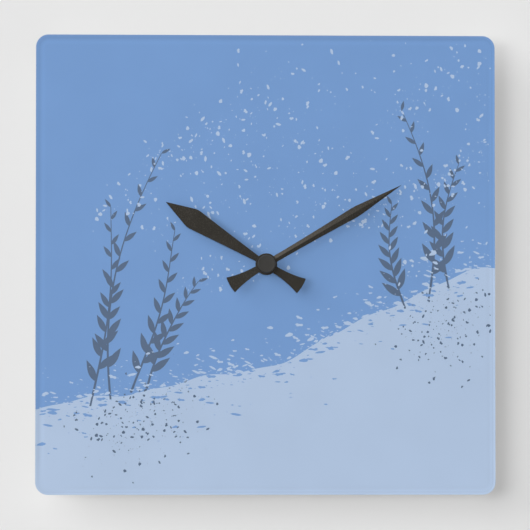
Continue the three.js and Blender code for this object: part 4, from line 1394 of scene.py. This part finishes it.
# Cell: a sleeved can with rolled ends, and its raised pole
cellValues = {
    "y": -7.4,
    "z": -19.5,
    "left": -24.5,
    "right": 24.6,
    # radius and distance in from that end
    "leftEnd": [(0, 0.15), (5.3, 0.15), (5.5, 0.3), (5.6, 0.05), (6.4, 0.0), (6.8, 0.15), (7.1, 0.6)],
    "rightEnd": [(7.1, 0.6), (6.8, 0.15), (6.4, 0.0), (5.6, 0.05), (5.5, 0.3), (5.3, 0.1), (2.6, 0.1), (2.4, 0.02),
                 (0, 0.02)],
    "pole": (2.7, -25.9, 0.35),  # radius, end and round
    "poleFoot": [(2.6, -24.7), (2.7, -24.5), (0, -24.5)],
    "sleeve": (44, 47, 54),
    "band": (186, 187, 184),
    "bare": (196, 198, 200),
    "bandEnd": -12.5,  # the pale band's reach from the pole's end
    "line": (-10.9, 0.3),  # middle and half width of the pale line beside it
    "bareRadius": 5.9,
    "roughness": (0.24, 0.4),
    "peel": (500.0, 2.0),  # scale and detail of the sleeve's waviness
    "peelDepth": 0.01,
    "sockets": {"Coat Weight": 0.35, "Coat Roughness": 0.12},
}


def sleeveMaterial():
    values = cellValues
    material, tree, shader = newMaterial("cellSleeve", values["sockets"])
    point = objectPoint(tree)
    along = splitXyz(tree, point)["X"]
    peel = objectNoise(tree, *values["peel"])
    middle, half = values["line"]
    inBand = calc(tree, "LESS_THAN", along, values["bandEnd"] * mm)
    fromLine = calc(tree, "ABSOLUTE", calc(tree, "SUBTRACT", along, middle * mm))
    pale = calc(tree, "MAXIMUM", inBand, calc(tree, "LESS_THAN", fromLine, half * mm))
    past = vectorCalc(tree, "SUBTRACT", point, (0.0, values["y"] * mm, values["z"] * mm))
    radius = vectorCalc(tree, "LENGTH", vectorCalc(tree, "MULTIPLY", past, (0.0, 1.0, 1.0)))
    isEnd = calc(tree, "LESS_THAN", radius, values["bareRadius"] * mm)
    sleeve = shade(tree, pale, linearOf(*values["sleeve"]), linearOf(*values["band"]))
    tree.links.new(shade(tree, isEnd, sleeve, linearOf(*values["bare"])), shader.inputs["Base Color"])
    tree.links.new(calc(tree, "MAXIMUM", isEnd, pale), shader.inputs["Metallic"])
    roughen(tree, shader, peel, values["roughness"])
    bumpInto(tree, shader, peel, values["peelDepth"])
    return material


def makeCell():
    values = cellValues
    axis = {"axis": "X", "y": values["y"], "z": values["z"], "facets": 96}
    profile = [(r, values["left"] + x) for r, x in values["leftEnd"]]
    profile += [(r, values["right"] - x) for r, x in values["rightEnd"]]
    place(turnedPiece("sleevedCell", sleeveMaterial(), profile, **axis), "battery", "cell_sleeve", "battery_can")
    radius, end, round = values["pole"]
    profile = [(0, end)] + softCorner(radius - 0.15, end, round, -1, 1) + values["poleFoot"]
    place(turnedPiece("cellPole", surfaces["platedSteel"], profile, **axis), "battery", "steel", "battery_cap")


makeCell()
print("cell made")

# Coil: one layer of close turns over the wound core
coilValues = {
    "left": -5.0,
    "right": 9.53,
    "y": -5.1,
    "z": 22.452,
    "radius": 2.9,
    "bore": 1.85,
    "wire": 0.17,  # diameter
    "turnSteps": 28,
    "wireFacets": 6,
    "coreInset": 0.12,
}


def windingTree():
    values = coilValues
    tree, given = newTree("winding")
    length, wireRadius = (values["right"] - values["left"]) * mm, values["wire"] * mm / 2
    reach = values["radius"] * mm - wireRadius
    path = addNode(tree, "GeometryNodeCurveSpiral", {
        "Resolution": values["turnSteps"], "Rotations": length / wireRadius / 2, "Start Radius": reach,
        "End Radius": reach, "Height": length})
    ring = addNode(tree, "GeometryNodeCurvePrimitiveCircle", {
        "Resolution": values["wireFacets"], "Radius": wireRadius})
    coil = addNode(tree, "GeometryNodeCurveToMesh", {
        "Curve": path.outputs[0], "Profile Curve": ring.outputs[0], "Fill Caps": True})
    smooth = addNode(tree, "GeometryNodeSetShadeSmooth", {"Geometry": coil.outputs[0]})
    laid = addNode(tree, "GeometryNodeTransform", {
        "Geometry": smooth.outputs[0], "Rotation": (0.0, math.pi / 2, 0.0),
        "Translation": [values[key] * mm for key in ("left", "y", "z")]})
    return endTree(tree, joined(tree, given["Geometry"], laid.outputs[0]), surfaces["enamelledWire"])


def makeCoil():
    values = coilValues
    left, right, bore, inner = values["left"], values["right"], values["bore"], values["radius"] - values["coreInset"]
    core = turnedPiece(
        "core", surfaces["enamelledWire"], [(bore, left), (inner, left), (inner, right), (bore, right)], facets=48,
        axis="X", y=values["y"], z=values["z"], closed=True)
    coil = grow(core, "woundCoil", windingTree())
    place(coil, "clock_body", "copper_wire", "coil_winding")
    print("coil", len(coil.data.polygons), "faces")


makeCoil()
print("movement made")

# Wall, lights and background
lightValues = {
    "wallColour": (0.815, 0.815, 0.815, 1.0),
    "wallHalf": 2.0,
    "wallGap": 0.0002,  # behind the movement's back
    "frontStrength": 1.25,
    "frontFrom": (-0.03, -1.0, 0.003),
    "frontAngle": 4.0,  # degrees
    "wideLights": {  # place, size and power; the soft shadows on the wall come from these
        "sideLight": ((-11.4, -16.4, 0.7), (9.9, 7.2), 914.0),
        "upperLight": ((-10.3, -14.4, 9.3), (15.6, 18.4), 1172.0),
        "slantLight": ((-16.7, -6.85, 8.65), (10.4, 12.2), 1439.0),
        "fillLight": ((10.8, -14.9, -7.8), (24.8, 23.0), 657.0),
    },
    "rearLights": [  # place, size and power; all of them lie behind the wall's front
        ((-0.5, 1.2, 0.7), (0.9, 0.9), 31.0),
        ((2.2, 0.15, 0.5), (0.24, 1.0), 55.0),
    ],
    "paleWorld": 0.8,
    "dimWorld": 0.02,
    "glossRise": ((-0.5, 0.9), 0.12, 0.6),  # span of Z, and what glossy surfaces see below it and above it
    "glossTurn": ((-0.04, 0.11), 1.0, 0.15),  # span of X, and the share of that gloss at its left and its right
    "glossSpots": [  # direction, strength, and the cosines where it begins and is full
        ((-0.138, -0.905, 0.371), 3.1, (0.984, 0.998)),
        ((-0.35, 0.8, 0.45), 2.4, (0.75, 0.95)),
    ],
}


# The wall is clear from behind, for shadow rays and for rays that have passed a clear surface
def makeWall():
    half, y = lightValues["wallHalf"], lightValues["wallGap"]
    mesh = bmesh.new()
    mesh.faces.new([mesh.verts.new((x, y, z)) for x, z in boxOutline(-half, half, -half, half)])
    wall = asObject(mesh, "wall")
    material, tree, shader = newMaterial("wallPaint", {
        "Roughness": 0.9, "Specular IOR Level": 0.0, "Base Color": lightValues["wallColour"]})
    clear = addNode(tree, "ShaderNodeBsdfTransparent")
    fromBehind = addNode(tree, "ShaderNodeNewGeometry").outputs["Backfacing"]
    path = lightPath(tree)
    passed = calc(tree, "GREATER_THAN", path["Transparent Depth"], 0.5)
    either = calc(tree, "MAXIMUM", fromBehind, path["Is Shadow Ray"])
    letThrough(tree, calc(tree, "MAXIMUM", either, passed), shader, clear)
    wall.data.materials.append(material)


# The plate mirrors only the even surroundings, so no light shows in it
def addLight(name, data, spot):
    light = addObject(name, data)
    light.location = spot
    light.rotation_euler = (-Vector(spot)).to_track_quat("-Z", "Y").to_euler()
    light.visible_camera = light.visible_glossy = light.visible_transmission = False
    return light


def addAreaLight(name, spot, size, power):
    data = bpy.data.lights.new(name, "AREA")
    data.shape = "RECTANGLE"
    data.size, data.size_y = size
    data.energy = power
    return addLight(name, data, spot)


def makeLights():
    values = lightValues
    sun = bpy.data.lights.new("frontLight", "SUN")
    sun.energy = values["frontStrength"]
    sun.angle = math.radians(values["frontAngle"])
    addLight("frontLight", sun, values["frontFrom"])
    for name, light in values["wideLights"].items():
        addAreaLight(name, *light)
    # the rear lights reach only what is seen directly, so none of their light strays to the front
    for light in values["rearLights"]:
        rear = addAreaLight("rearLight", *light)
        rear.data.use_nodes = True
        tree = rear.data.node_tree
        first = calc(tree, "LESS_THAN", lightPath(tree)["Ray Depth"], 1.5)
        tree.links.new(first, tree.nodes["Emission"].inputs["Strength"])


def makeWorld():
    values = lightValues
    world = bpy.data.worlds.new("world")
    world.use_nodes = True
    bpy.context.scene.world = world
    tree = world.node_tree
    path = lightPath(tree)
    direction = addNode(tree, "ShaderNodeTexCoord").outputs["Generated"]
    parts = splitXyz(tree, direction)
    rise = mapRange(tree, parts["Z"], *values["glossRise"], interpolation_type="SMOOTHSTEP")
    gloss = calc(tree, "MULTIPLY", rise, mapRange(tree, parts["X"], *values["glossTurn"]))
    for ahead, strength, span in values["glossSpots"]:
        along = vectorCalc(tree, "DOT_PRODUCT", direction, Vector(ahead).normalized())
        spot = mapRange(tree, along, span, 0.0, strength, interpolation_type="SMOOTHSTEP")
        gloss = calc(tree, "ADD", gloss, spot)
    glossy = calc(tree, "MULTIPLY", path["Is Glossy Ray"], gloss)
    seen = calc(tree, "MAXIMUM", path["Is Camera Ray"], path["Is Transmission Ray"])
    pale = calc(tree, "MULTIPLY", seen, values["paleWorld"])
    strength = calc(tree, "MAXIMUM", calc(tree, "MAXIMUM", glossy, pale), values["dimWorld"])
    background = tree.nodes["Background"]
    tree.links.new(strength, background.inputs["Strength"])
    background.inputs["Color"].default_value = (1.0, 1.0, 1.0, 1.0)


makeWall()
makeLights()
makeWorld()
bpy.context.scene.view_settings.view_transform = "Standard"
print("stage and lights made")
